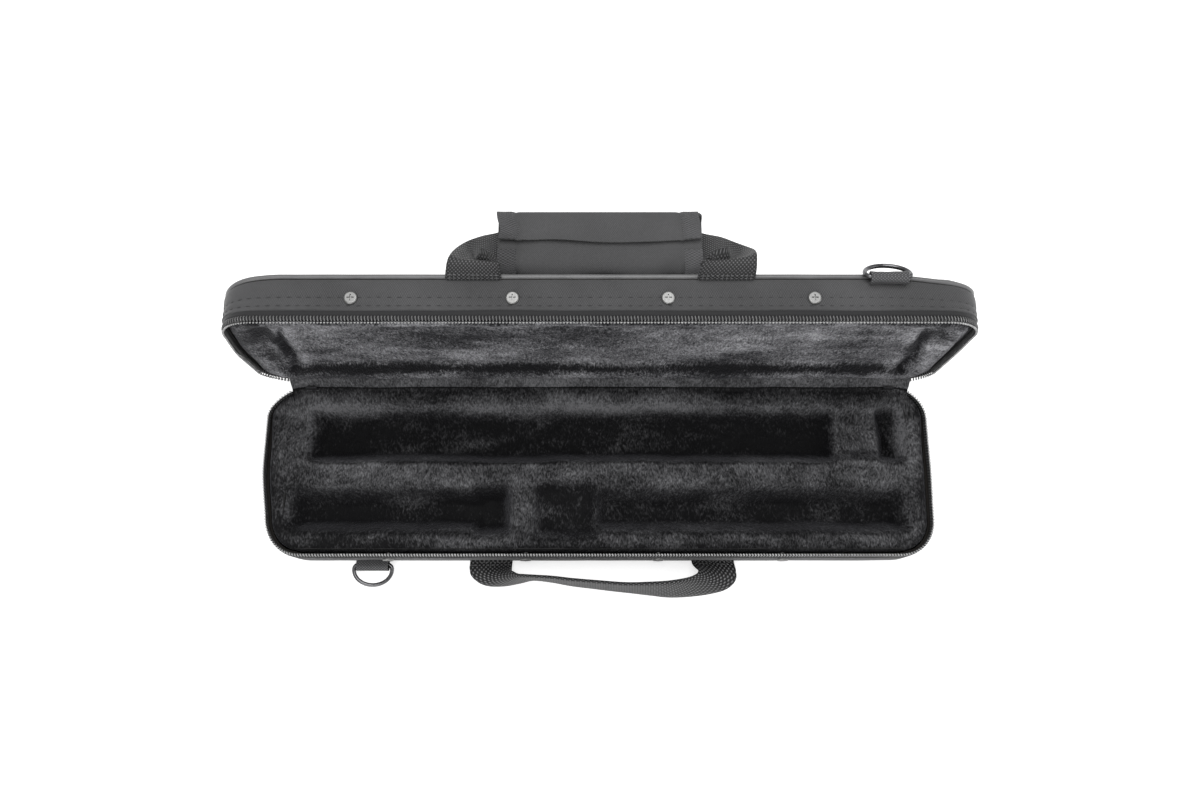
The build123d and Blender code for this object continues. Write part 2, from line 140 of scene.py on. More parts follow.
@dataclass(frozen=True)
class Rim:
    """The case's rounded outline, by the distance along the wall from the middle of the back.

    It runs to the right, round the front and home along the left. An inset draws it inwards.
    """

    length: float = CASE.length
    depth: float = CASE.depth
    corner: float = CASE.corner
    left_sag: Sag = Sag(-14.0, 32.0, 4.8)
    right_sag: Sag = Sag(-34.0, 18.0, 4.4)
    sag_width: float = 9.0
    sag_fade: float = 26.0
    left_belly: float = 5.5
    right_belly: float = 1.4

    @property
    def half_back(self) -> float:
        """Half the straight stretch of the back wall."""
        return self.length / 2 - self.corner

    @property
    def half_side(self) -> float:
        """Half the straight stretch of an end wall."""
        return self.depth / 2 - self.corner

    @property
    def arc(self) -> float:
        """Length of a corner."""
        return self.corner * pi / 2

    @property
    def total(self) -> float:
        """Length of the whole outline."""
        return 4 * (self.half_back + self.half_side + self.arc)

    @property
    def zip_start(self) -> float:
        """Distance at which the zip starts, within the first back corner."""
        return self.half_back + self.corner * radians(CASE.zip_end_angle)

    def at(self, distance: float, inset: float = 0.0) -> tuple[Vector, Vector]:
        """A point of the outline.

        Args:
            distance: how far along the wall the point is.
            inset: how far inside the wall it is.

        Returns:
            The point at height zero, and the direction out of the case there.
        """
        s = distance % self.total
        half_back, half_side, arc = self.half_back, self.half_side, self.arc
        if s > self.total / 2:
            point, out = self.at(self.total - s, inset)
            return Vector((-point.x, point.y, 0)), Vector((-out.x, out.y, 0))
        if s <= half_back:
            centre, out = Vector((s, half_side, 0)), Vector((0, 1, 0))
        elif s <= half_back + arc:
            turn = pi / 2 - (s - half_back) / self.corner
            centre, out = Vector((half_back, half_side, 0)), Vector((cos(turn), sin(turn), 0))
        elif s <= half_back + arc + 2 * half_side:
            centre = Vector((half_back, half_side - (s - half_back - arc), 0))
            out = Vector((1, 0, 0))
        elif s <= half_back + 2 * arc + 2 * half_side:
            turn = -(s - half_back - arc - 2 * half_side) / self.corner
            centre, out = Vector((half_back, -half_side, 0)), Vector((cos(turn), sin(turn), 0))
        else:
            centre = Vector((self.total / 2 - s, -half_side, 0))
            out = Vector((0, -1, 0))
        return centre + out * (self.corner - inset), out

    def half_width(self, y: float, inset: float = 0.0) -> float:
        """Half the case's width at a place from front to back.

        Args:
            y: place from front to back.
            inset: how far inside the wall it is measured.

        Returns:
            The distance from the middle of the case to its end there.
        """
        radius = self.corner - inset
        over = min(max(abs(y) - self.half_side, 0.0), radius)
        return self.half_back + sqrt(radius * radius - over * over)

    def hub(self, x: float, y: float) -> Vector:
        """The nearest place from which the outline lies a corner's radius away."""
        half_back, half_side = self.half_back, self.half_side
        return Vector((min(max(x, -half_back), half_back), min(max(y, -half_side), half_side)))

    def half_depth(self, x: float) -> float:
        """Half the case's depth at a place along it."""
        over = min(max(abs(x) - self.half_back, 0.0), self.corner)
        return self.half_side + sqrt(self.corner * self.corner - over * over)

    def slump(self, x: float, y: float) -> float:
        """How far the outer face has been pushed in towards the zip near a soft corner.

        Args:
            x: place along the case.
            y: place from front to back.

        Returns:
            The shift, largest past each corner and none away from the edge.
        """
        sag = self.left_sag if x < 0 else self.right_sag
        over_x, over_y = abs(x) - self.half_back, abs(y) - self.half_side
        inset = self.corner - hypot(max(over_x, 0.0), max(over_y, 0.0))
        if over_x <= 0:
            run = over_x
        elif over_y <= 0:
            run = self.arc - over_y
        else:
            run = self.corner * atan2(over_x, over_y)
        fade = 1.0 if run < self.arc else exp(-(((run - self.arc) / self.sag_fade) ** 2))
        shift = sag.most * smooth_step(run, sag.start, sag.end) * fade
        return shift * (1 - smooth_step(inset, 0.0, self.sag_width))

    def belly(self, point: Vector) -> Vector:
        """Where a point of the closed case goes with the soft end walls pushed out, the left one most.

        Args:
            point: the point as the stiff case has it.

        Returns:
            The point, moved along X near an end wall only.
        """
        most = self.left_belly if point.x < 0 else self.right_belly
        along = smooth_step(point.y, -45.0, 5.0) * (1 - 0.78 * smooth_step(point.y, 34.0, 54.0))
        push = most * smooth_step(abs(point.x), 169.0, 201.0) * along
        return Vector((point.x + (push if point.x > 0 else -push), point.y, point.z))


RIM = Rim()


# ---------------------------------------------------------------- small shaping helpers
def smooth_step(value: float, low: float, high: float) -> float:
    """A soft step from 0 at low to 1 at high."""
    t = min(max((value - low) / (high - low), 0.0), 1.0)
    return t * t * (3 - 2 * t)


def bump(value: float, middle: float, width: float) -> float:
    """A soft hump of height 1 at middle."""
    return exp(-(((value - middle) / width) ** 2))


def path_length(points: Sequence[Vector]) -> float:
    """Length of the straight lines from point to point."""
    return sum((b - a).length for a, b in zip(points, points[1:]))


def drift(point: Vector, size: float, seed: float = 0.0) -> float:
    """Even, repeatable unevenness between about -1 and 1.

    Args:
        point: where it is read, in millimetres.
        size: the distance over which it changes.
        seed: another number gives another pattern.

    Returns:
        The height of the pattern there.
    """
    return noise.noise(point / size + Vector((seed, 3.7 * seed, -seed)))


def curve_through(points: Sequence[Vector], t: float) -> Vector:
    """A smooth curve through points of any dimension.

    Args:
        points: the points, evenly spread over t.
        t: from 0 at the first point to 1 at the last.

    Returns:
        The point of the curve.
    """
    last = len(points) - 1
    at = min(max(t, 0.0), 1.0) * last
    i = min(int(at), last - 1)
    f = at - i
    p1, p2 = points[i], points[i + 1]
    p0 = points[i - 1] if i else p1 * 2 - p2
    p3 = points[i + 2] if i + 2 <= last else p2 * 2 - p1
    return (p1 * 2 + (p2 - p0) * f + (p0 * 2 - p1 * 5 + p2 * 4 - p3) * f * f
            + (p1 * 3 - p0 - p2 * 3 + p3) * f * f * f) * 0.5


def lay(bm: bmesh.types.BMesh, columns: int, rows: int, size: tuple[float, float], place: Place) -> list:
    """Adds a flat grid, keeps its flat place as its cloth map, and lays it where it belongs.

    Args:
        bm: the mesh that it joins.
        columns: faces along u.
        rows: faces along v.
        size: the cloth's length along u and v.
        place: gives the point for each u and v.

    Returns:
        The new points.
    """
    verts = bmesh.ops.create_grid(bm, x_segments=columns, y_segments=rows, size=0.5)["verts"]
    layer = bm.loops.layers.uv.get(CLOTH_MAP) or bm.loops.layers.uv.new(CLOTH_MAP)
    flat = {v: ((v.co.x + 0.5) * size[0], (v.co.y + 0.5) * size[1]) for v in verts}
    for vert in verts:
        for loop in vert.link_loops:
            loop[layer].uv = flat[vert]
    for vert, (u, v) in flat.items():
        vert.co = place(u, v)
    return verts


def fuse(bm: bmesh.types.BMesh, distance: float = WELD) -> None:
    """Closes the seams of a laid grid and turns its faces outwards."""
    bmesh.ops.remove_doubles(bm, verts=bm.verts, dist=distance)
    bmesh.ops.recalc_face_normals(bm, faces=bm.faces)


def extrude_rim(bm: bmesh.types.BMesh) -> list[bmesh.types.BMVert]:
    """Extrudes the open edge of a mesh.

    Args:
        bm: the mesh.

    Returns:
        The new points, still where the edge is.
    """
    rim = [edge for edge in bm.edges if edge.is_boundary]
    made = bmesh.ops.extrude_edge_only(bm, edges=rim)["geom"]
    return [part for part in made if isinstance(part, bmesh.types.BMVert)]


def turn_out(bm: bmesh.types.BMesh, rank: Callable[[Vector], float], out: Vector) -> None:
    """Turns the faces of an open mesh outwards.

    Args:
        bm: the mesh.
        rank: ranks the middles of the faces; the lowest one belongs to a face whose way out is known.
        out: the way out at that face.
    """
    bmesh.ops.recalc_face_normals(bm, faces=bm.faces)
    known = min(bm.faces, key=lambda face: rank(face.calc_center_median()))
    if known.normal.dot(out) < 0:
        bmesh.ops.reverse_faces(bm, faces=bm.faces)


def close_ends(bm: bmesh.types.BMesh) -> None:
    """Closes the open ends of a laid tube."""
    fuse(bm, FINE_WELD)
    bmesh.ops.holes_fill(bm, edges=[edge for edge in bm.edges if edge.is_boundary], sides=0)


def thicken(bm: bmesh.types.BMesh, thickness: float) -> None:
    """Gives laid cloth its thickness, to the back of its faces, with the cloth map kept."""
    bmesh.ops.solidify(bm, geom=list(bm.faces), thickness=thickness)


def tube(bm: bmesh.types.BMesh, path: Callable[[float], Track], length: float,
         steps: int, radius: float, sides: int = 12, closed: bool = True) -> None:
    """Adds a round cord along a path.

    Args:
        bm: the mesh that it joins.
        path: gives the middle and two directions across it, by distance.
        length: the path's length.
        steps: faces along it.
        radius: the cord's radius.
        sides: faces around it.
        closed: whether the path meets its own start; otherwise its ends are rounded off.
    """
    round_it = 2 * pi * radius

    def place(u: float, v: float) -> Vector:
        """Where the cord's flat place goes.

        Args:
            u: distance along the cord.
            v: distance round it.

        Returns:
            The point on its skin.
        """
        middle, out, up = path(u)
        size = radius
        if not closed:
            size = radius * sqrt(max(0.0, 1 - max(0.0, 1 - min(u, length - u) / radius) ** 2)) or 1e-5
        turn = 2 * pi * v / round_it
        return middle + (out * cos(turn) + up * sin(turn)) * size

    lay(bm, steps, sides, (length, round_it), place)


# ---------------------------------------------------------------- finishes
class Graph:
    """One material's nodes, around a Principled shader."""

    def __init__(self, name: str) -> None:
        """Starts the material.

        Args:
            name: the material's name.
        """
        self.material = bpy.data.materials.new(name)
        self.material.use_nodes = True
        self.tree = self.material.node_tree
        self.tree.nodes.clear()
        self.shader = self.add("ShaderNodeBsdfPrincipled")
        output = self.add("ShaderNodeOutputMaterial")
        self.tree.links.new(self.shader.outputs["BSDF"], output.inputs["Surface"])

    def add(self, kind: str, **settings: object) -> bpy.types.Node:
        """Adds a node.

        Args:
            kind: the node's type.
            settings: properties of the node.

        Returns:
            The node.
        """
        node = self.tree.nodes.new(kind)
        for key, value in settings.items():
            setattr(node, key, value)
        return node

    def join(self, source: object, target: bpy.types.NodeSocket) -> None:
        """Feeds a socket.

        Args:
            source: another socket, or a constant.
            target: the socket that is fed.
        """
        if isinstance(source, bpy.types.NodeSocket):
            self.tree.links.new(source, target)
        else:
            target.default_value = source

    def math(self, operation: str, *values: object) -> bpy.types.NodeSocket:
        """One step of arithmetic.

        Args:
            operation: the Math node's operation.
            values: its sockets or numbers.

        Returns:
            The result.
        """
        node = self.add("ShaderNodeMath", operation=operation)
        for value, target in zip(values, node.inputs):
            self.join(value, target)
        return node.outputs[0]

    def blend(self, factor: object, first: Colour, second: Colour) -> bpy.types.NodeSocket:
        """A colour between two.

        Args:
            factor: from 0 for the first to 1 for the second.
            first: a colour.
            second: another colour.

        Returns:
            The colour's socket.
        """
        node = self.add("ShaderNodeMix", data_type="RGBA")
        self.join(factor, node.inputs[0])
        node.inputs[6].default_value = (*first, 1)
        node.inputs[7].default_value = (*second, 1)
        return node.outputs[2]

    def span(self, value: object, low: float, high: float,
             to_low: float = 0.0, to_high: float = 1.0) -> bpy.types.NodeSocket:
        """Moves a value from one range to another, and keeps it inside.

        Args:
            value: the socket that is read.
            low: the first range's start.
            high: the first range's end.
            to_low: the second range's start.
            to_high: the second range's end.

        Returns:
            The moved value.
        """
        node = self.add("ShaderNodeMapRange")
        for source, target in zip((value, low, high, to_low, to_high), node.inputs):
            self.join(source, target)
        return node.outputs[0]

    def flat(self, uv_map: str) -> tuple[bpy.types.NodeSocket, bpy.types.NodeSocket]:
        """The two numbers of one of the piece's own maps.

        Args:
            uv_map: the map's name.

        Returns:
            Its u and v.
        """
        parts = self.add("ShaderNodeSeparateXYZ")
        self.join(self.add("ShaderNodeUVMap", uv_map=uv_map).outputs[0], parts.inputs[0])
        return parts.outputs[0], parts.outputs[1]

    def noise(self, scale: float, detail: float = 2.0, stretch: tuple[float, float, float] = (1, 1, 1),
              warp: object = None, turn: float = 0.0) -> bpy.types.NodeSocket:
        """Noise on the piece's own coordinates.

        Args:
            scale: patterns in a metre.
            detail: how many finer layers it has.
            stretch: the scale along each axis.
            warp: a vector socket that is added to the coordinates, or None.
            turn: degrees by which the pattern is turned about Z.

        Returns:
            The noise, about 0.5.
        """
        place = self.add("ShaderNodeTexCoord").outputs["Object"]
        if warp is not None:
            shift = self.add("ShaderNodeVectorMath", operation="ADD")
            self.join(place, shift.inputs[0])
            self.join(warp, shift.inputs[1])
            place = shift.outputs[0]
        mapping = self.add("ShaderNodeMapping")
        self.join(place, mapping.inputs["Vector"])
        mapping.inputs["Scale"].default_value = stretch
        mapping.inputs["Rotation"].default_value = (0, 0, radians(turn))
        pattern = self.add("ShaderNodeTexNoise")
        self.join(mapping.outputs[0], pattern.inputs["Vector"])
        pattern.inputs["Scale"].default_value = scale
        pattern.inputs["Detail"].default_value = detail
        return pattern.outputs["Fac"]

    def relief(self, height: object, depth: float) -> None:
        """Raises the surface by a pattern.

        Args:
            height: the pattern's socket.
            depth: the pattern's full height in millimetres.
        """
        node = self.add("ShaderNodeBump")
        node.inputs["Strength"].default_value = 1.0
        node.inputs["Distance"].default_value = depth * MM
        self.join(height, node.inputs["Height"])
        self.join(node.outputs[0], self.shader.inputs["Normal"])

    def set(self, **values: object) -> None:
        """Sets the shader's own sockets; an underscore stands for a space."""
        for key, value in values.items():
            self.join(value, self.shader.inputs[key.replace("_", " ")])


def shaded(colour: Colour, factor: float) -> Colour:
    """A colour made darker or lighter, and never brighter than white."""
    return tuple(min(1.0, part * factor) for part in colour)


@dataclass(frozen=True)
class WovenCloth:
    """Plain-woven cloth whose threads follow the cloth map."""

    name: str
    colour: Colour
    pitch: float = 0.55
    rib: float = 1.0
    depth: float = 0.06
    sheen: float = 0.25
    roughness: float = 0.8
    mottle: float = 0.16
    slub_scale: float = 900.0
    shade_scale: float = 26.0

    def make(self) -> bpy.types.Material:
        """Builds the material: crossed threads, slubs and a slow drift of shade.

        Returns:
            The material.
        """
        graph = Graph(self.name)
        u, v = graph.flat(CLOTH_MAP)
        warp = graph.math("SINE", graph.math("MULTIPLY", u, pi / self.pitch))
        weft = graph.math("SINE", graph.math("MULTIPLY", v, pi / (self.pitch * self.rib)))
        weave = graph.math("MULTIPLY_ADD", graph.math("MULTIPLY", warp, weft), 0.5, 0.5)
        slub, slow = graph.noise(self.slub_scale), graph.noise(self.shade_scale, 3)
        height = graph.math("MULTIPLY_ADD", slub, 0.45, graph.math("MULTIPLY", weave, 0.75))
        shade = graph.math("ADD", graph.math("MULTIPLY", height, 0.55), graph.math("MULTIPLY", slow, 0.6))
        dark, light = shaded(self.colour, 1 - 2 * self.mottle), shaded(self.colour, 1 + 2 * self.mottle)
        graph.set(Base_Color=graph.blend(graph.span(shade, 0.25, 0.95), dark, light),
                  Roughness=graph.span(slow, 0.3, 0.7, self.roughness - 0.08, self.roughness + 0.08),
                  Sheen_Weight=self.sheen, Sheen_Roughness=0.45, Specular_IOR_Level=0.25)
        graph.relief(height, self.depth)
        return graph.material


@dataclass(frozen=True)
class Webbing:
    """Heavy webbing: broad warp ribs with a raised weft, and fibres that catch the light."""

    name: str
    colour: Colour
    pitch: float = 1.25
    weft: float = 1.5
    depth: float = 0.22
    catch: Colour = (0.16, 0.16, 0.165)
    fibre_scale: float = 1500.0

    def make(self) -> bpy.types.Material:
        """Builds the material on the cloth map: u along the strap, v across it.

        Returns:
            The material.
        """
        graph = Graph(self.name)
        u, v = graph.flat(CLOTH_MAP)
        across = graph.math("SINE", graph.math("MULTIPLY", v, pi / self.pitch))
        along = graph.math("SINE", graph.math("MULTIPLY", u, pi / self.weft))
        basket = graph.math("MULTIPLY_ADD", graph.math("MULTIPLY", across, along), 0.5, 0.5)
        fibre = graph.noise(self.fibre_scale)
        height = graph.math("MULTIPLY_ADD", fibre, 0.3, graph.math("MULTIPLY", basket, 0.8))
        tip = graph.math("POWER", graph.span(height, 0.52, 0.9), 1.5)
        graph.set(Base_Color=graph.blend(tip, self.colour, self.catch),
                  Roughness=graph.span(fibre, 0.3, 0.7, 0.5, 0.75),
                  Sheen_Weight=0.06, Sheen_Roughness=0.4, Specular_IOR_Level=0.25)
        graph.relief(height, self.depth)
        return graph.material


@dataclass(frozen=True)
class Plush:
    """Brushed pile: dark where it is looked into, bright where it is seen edge on, and carrying the painted
    light and shade of its map.
    """

    name: str
    root: Colour = (0.003, 0.003, 0.0034)
    tip: Colour = (0.138, 0.138, 0.144)
    lay_turn: float = 38.0
    sheen: float = 0.13
    patchy: float = 0.9
    bias: float = 0.0
    hair_scale: float = 1350.0
    tuft_scale: float = 620.0
    clump_scale: float = 110.0
    patch_scale: float = 30.0
    curl_scale: float = 45.0
    curl: float = 0.004
    painted_light_share: float = 0.85
    depth: float = 0.8

    def make(self) -> bpy.types.Material:
        """Builds the material: combed streaks, tufts, patches where the pile lies another way, and the
        painted light and shade of the pile map.

        Returns:
            The material.
        """
        graph = Graph(self.name)
        swirl = graph.add("ShaderNodeTexNoise", noise_dimensions="3D")
        graph.join(graph.add("ShaderNodeTexCoord").outputs["Object"], swirl.inputs["Vector"])
        swirl.inputs["Scale"].default_value = self.curl_scale
        centred = graph.add("ShaderNodeVectorMath", operation="MULTIPLY_ADD")
        graph.join(swirl.outputs["Color"], centred.inputs[0])
        centred.inputs[1].default_value = (2 * self.curl,) * 3
        centred.inputs[2].default_value = (-self.curl,) * 3
        warp = centred.outputs[0]
        hair = graph.noise(self.hair_scale, 2, (1.0, 0.42, 0.42), warp, self.lay_turn)
        tuft = graph.noise(self.tuft_scale, 2, (1.0, 0.6, 0.6), warp, self.lay_turn)
        clump = graph.noise(self.clump_scale, 2, (0.8, 1.2, 1.2))
        patch = graph.noise(self.patch_scale, 3, (0.6, 1.2, 1.2))
        pile = graph.math("MULTIPLY_ADD", tuft, 0.7, hair)
        light = graph.math("MULTIPLY_ADD", patch, self.patchy, graph.math("MULTIPLY_ADD", clump, 0.5, pile))
        # Painted light and shade: the map darkens wells, folds and edges and lightens lips and slopes that
        # face the light.
        light = graph.math("MULTIPLY_ADD", graph.flat(PAINTED_LIGHT_MAP)[0], self.painted_light_share, light)
        middle = 1.1 + (self.patchy + self.painted_light_share) / 2 - self.bias
        lit = graph.math("POWER", graph.span(light, middle - 0.36, middle + 0.46), 1.8)
        graph.set(Base_Color=graph.blend(lit, self.root, self.tip),
                  Roughness=graph.span(patch, 0.3, 0.7, 0.6, 0.85),
                  Sheen_Weight=self.sheen, Sheen_Roughness=0.45,
                  Sheen_Tint=(0.55, 0.55, 0.6, 1), Specular_IOR_Level=0.1)
        graph.relief(pile, self.depth)
        return graph.material


@dataclass(frozen=True)
class Moulded:
    """Smooth vinyl or nylon with a fine grain."""

    name: str
    colour: Colour
    roughness: float = 0.4
    grain_scale: float = 2500.0
    depth: float = 0.02
    coat: float = 0.0
    rub_scale: float = 60.0

    def make(self) -> bpy.types.Material:
        """Builds the material: grain, handling marks and a slow change of gloss.

        Returns:
            The material.
        """
        graph = Graph(self.name)
        grain, wear_and_highlight = graph.noise(self.grain_scale), graph.noise(self.rub_scale, 3)
        dark, light = shaded(self.colour, 0.78), shaded(self.colour, 1.22)
        graph.set(Base_Color=graph.blend(graph.span(wear_and_highlight, 0.3, 0.7), dark, light),
                  Roughness=graph.span(wear_and_highlight, 0.3, 0.7, self.roughness - 0.08, self.roughness + 0.12),
                  Coat_Weight=self.coat, Coat_Roughness=0.3)
        graph.relief(grain, self.depth)
        return graph.material


@dataclass(frozen=True)
class CoilNylon:
    """The zip's nylon: satin legs, necks darkened as painted shade, and heads made bright as a painted
    highlight.
    """

    name: str
    leg: float = 0.12
    neck: float = 0.02
    head: float = 0.4
    head_at: float = 0.25
    wear_scale: float = 300.0
    grain_scale: float = 2200.0
    depth: float = 0.01

    def make(self) -> bpy.types.Material:
        """Builds the material on the cloth map, where u goes once round a turn of the coil.

        Returns:
            The material.
        """
        graph = Graph(self.name)
        away = graph.math("ABSOLUTE", graph.math("SUBTRACT", graph.flat(CLOTH_MAP)[0], self.head_at))
        # Painted highlight on each turn's head and painted shade at its necks, set by the place round the
        # turn.
        wear_and_highlight = graph.span(away, 0.07, 0.09, self.head, self.neck)
        shade = graph.math("ADD", wear_and_highlight, graph.span(away, 0.145, 0.175, 0.0, self.leg))
        worn = graph.span(graph.noise(self.wear_scale), 0.3, 0.7, 0.7, 1.25)
        graph.set(Base_Color=graph.math("MULTIPLY", shade, worn), Roughness=0.32,
                  Coat_Weight=0.2, Coat_Roughness=0.3)
        graph.relief(graph.noise(self.grain_scale), self.depth)
        return graph.material


@dataclass(frozen=True)
class Plated:
    """Plated or lacquered metal with fine rubbing marks."""

    name: str
    colour: Colour
    roughness: float = 0.25
    metallic: float = 1.0
    scratch_scale: float = 1600.0
    dull_scale: float = 180.0
    depth: float = 0.008

    def make(self) -> bpy.types.Material:
        """Builds the material: brushed micro-scratches and dull patches.

        Returns:
            The material.
        """
        graph = Graph(self.name)
        scratch = graph.noise(self.scratch_scale, 3, (1, 0.08, 1), None, 25)
        dull = graph.noise(self.dull_scale, 3)
        gloss = graph.math("MULTIPLY_ADD", dull, 0.6, graph.math("MULTIPLY", scratch, 0.4))
        graph.set(Base_Color=graph.blend(graph.span(dull, 0.35, 0.7), self.colour, shaded(self.colour, 1.35)),
                  Roughness=graph.span(gloss, 0.35, 0.65, self.roughness - 0.07, self.roughness + 0.12),
                  Metallic=self.metallic)
        graph.relief(scratch, self.depth)
        return graph.material


@dataclass(frozen=True)
class Coarse:
    """Board, foam and fastener cloth: open grain on the piece's own coordinates."""

    name: str
    colour: Colour
    cell_scale: float = 900.0
    stretch: tuple[float, float, float] = (1, 1, 1)
    shade_scale: float = 40.0
    depth: float = 0.1

    def make(self) -> bpy.types.Material:
        """Builds the material: cells or fibres, and a slow change of shade.

        Returns:
            The material.
        """
        graph = Graph(self.name)
        cells, slow = graph.noise(self.cell_scale, 3, self.stretch), graph.noise(self.shade_scale)
        shade = graph.math("MULTIPLY_ADD", cells, 0.6, graph.math("MULTIPLY", slow, 0.4))
        colour = graph.blend(graph.span(shade, 0.35, 0.65), shaded(self.colour, 0.6), self.colour)
        graph.set(Base_Color=colour, Roughness=0.9, Specular_IOR_Level=0.2)
        graph.relief(cells, self.depth)
        return graph.material


COVER = WovenCloth("cover_nylon", (0.056, 0.056, 0.0575), pitch=0.62, depth=0.1, mottle=0.3)
PIPING = Moulded("piping_vinyl", (0.115, 0.115, 0.117), 0.42, grain_scale=900, depth=0.05, coat=0.2)
TAPE = WovenCloth("zip_tape_weave", (0.022, 0.022, 0.023), pitch=0.45, rib=0.7, depth=0.1)
COIL = CoilNylon("zip_coil_nylon")
LINING = Plush("lining_plush", bias=0.05)
# The lid's plush is the base's plush with a far lighter tip colour: painted light and painted sheen, for the
# lid's lining stands up facing the lamps and is seen edge on.
LID_LINING_PAINTED_LIGHT = Plush("lid_lining_plush_painted_light", (0.006, 0.006, 0.0068), (0.43, 0.43, 0.45), lay_turn=-35.0,
                   sheen=0.17, patchy=1.4)
STRAP = Webbing("strap_webbing", (0.007, 0.007, 0.0073), pitch=1.35, weft=1.6, depth=0.34,
                catch=(0.17, 0.17, 0.174))
LOOP_STRAP = Webbing("loop_strap_webbing", (0.024, 0.024, 0.0245), pitch=0.9, weft=1.1, depth=0.25,
                     catch=(0.13, 0.13, 0.133))
TAB = Webbing("tab_webbing", (0.05, 0.05, 0.052), pitch=0.8, weft=0.9, depth=0.12)
WRAP = WovenCloth("wrap_nylon", (0.06, 0.06, 0.0615), pitch=0.6, depth=0.1, mottle=0.24)
BINDING = WovenCloth("binding_ribbed", (0.062, 0.062, 0.064), pitch=1.3, rib=0.45, depth=0.4, mottle=0.42)
FASTENER = Coarse("fastener_loops", (0.03, 0.03, 0.03), 1800)
THREAD = WovenCloth("stitch_thread", (0.036, 0.036, 0.037), pitch=0.3, rib=0.6, depth=0.05, sheen=0.1)
PALE_THREAD = WovenCloth("foot_thread", (0.15, 0.15, 0.153), pitch=0.3, rib=0.6, depth=0.05)
RING = Plated("ring_nickel", (0.11, 0.11, 0.114), 0.25)
SCREW = Plated("screw_nickel", (0.2, 0.2, 0.197), 0.42)
SLIDER = Plated("slider_lacquer", (0.035, 0.035, 0.037), 0.32, 0.6)
BOARD = Coarse("shell_board_fibre", (0.022, 0.02, 0.018), 500, (1, 0.1, 0.1))
FOAM = Coarse("foam_cells", (0.02, 0.02, 0.02), 1200)


# ---------------------------------------------------------------- a piece in the making
class Work:
    """A mesh in millimetres on its way to becoming a piece of the case."""

    finished: dict[object, bpy.types.Material] = {}

    def __init__(self, name: str) -> None:
        """Starts an empty mesh."""
        self.name = name
        self.bm = bmesh.new()

    @classmethod
    def material(cls, finish: object) -> bpy.types.Material:
        """The one material of a finish.

        Args:
            finish: the finish.

        Returns:
            Its material, made when it is first asked for.
        """
        if finish not in cls.finished:
            cls.finished[finish] = finish.make()
        return cls.finished[finish]

    def finish(self, body: str, slot: str, finish: object, replaced: Iterable[str] = (),
               place: Matrix | None = None, crease: float = 40.0) -> bpy.types.Object:
        """Writes the mesh in metres as a piece that rides on a body.

        Args:
            body: the body that carries it.
            slot: the record's material slot; not used.
            finish: the look.
            replaced: the CAD nodes that it stands for.
            place: where the piece goes from where it was built.
            crease: degrees past which an edge stays sharp.

        Returns:
            The object.
        """
        if place is not None:
            for vert in self.bm.verts:
                vert.co = RIM.belly(vert.co)
        matrix = Matrix.Scale(MM, 4) @ (place or Matrix.Identity(4))
        bmesh.ops.transform(self.bm, matrix=matrix, verts=self.bm.verts)
        bmesh.ops.recalc_face_normals(self.bm, faces=self.bm.faces)
        for face in self.bm.faces:
            face.smooth = True
        for edge in self.bm.edges:
            edge.smooth = edge.calc_face_angle(0.0) < radians(crease)
        mesh = bpy.data.meshes.new(self.name)
        self.bm.to_mesh(mesh)
        self.bm.free()
        piece = bpy.data.objects.new(self.name, mesh)
        bpy.context.scene.collection.objects.link(piece)
        mesh.materials.append(self.material(finish))
        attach(piece, body)
        if replaced:
            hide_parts(*replaced)
        LOG.info("%s: %d faces, rides on %s", self.name, len(mesh.polygons), body)
        return piece

    def finish_half(self, half: Half, slot: str, finish: object, replaced: Iterable[str] = (),
                    crease: float = 40.0) -> bpy.types.Object:
        """Finishes a piece that was built in the base, for the half that carries it.

        Args:
            half: the half.
            slot: the record's material slot.
            finish: the look.
            replaced: the CAD nodes that it stands for, without the half's name.
            crease: degrees past which an edge stays sharp.

        Returns:
            The object.
        """
        nodes = [f"{half.value}_{node}" for node in replaced]
        return self.finish(half.value, slot, finish, nodes, CASE.place(half), crease)


@dataclass(frozen=True)
class Seam:
    """A row of stitches."""

    pitch: float = 5.2
    stitch: float = 3.6
    radius: float = 0.28

    def sew(self, bm: bmesh.types.BMesh, length: float, path: Callable[[float], Way]) -> None:
        """Adds the row's stitches, each one sunk into the cloth at both ends.

        Args:
            bm: the mesh that they join.
            length: the seam's length.
            path: gives a point of the cloth and the way out of it, by distance.
        """
        count = max(1, int(length / self.pitch))
        step = length / count
        for i in range(count):
            start = (i + 0.5) * step - self.stitch / 2
            self.one(bm, path(start), path(start + self.stitch))

    def one(self, bm: bmesh.types.BMesh, first: Way, last: Way) -> None:
        """Adds one stitch.

        Args:
            bm: the mesh that it joins.
            first: the point of the cloth where it starts, and the way out of the cloth.
            last: the same where it ends.
        """
        out = (first[1] + last[1]).normalized()
        across = out.cross(last[0] - first[0]).normalized()

        def place(u: float, v: float) -> Vector:
            """Where the stitch's flat place goes.

            Args:
                u: share of the way along it.
                v: share of the way round it.

            Returns:
                The point on the thread.
            """
            arch = 4 * u * (1 - u)
            middle = first[0].lerp(last[0], u) + out * self.radius * (arch * 1.1 - 0.7)
            turn = 2 * pi * v
            return middle + (out * cos(turn) + across * sin(turn)) * self.radius * sqrt(arch)

        lay(bm, 4, 6, (1, 1), place)


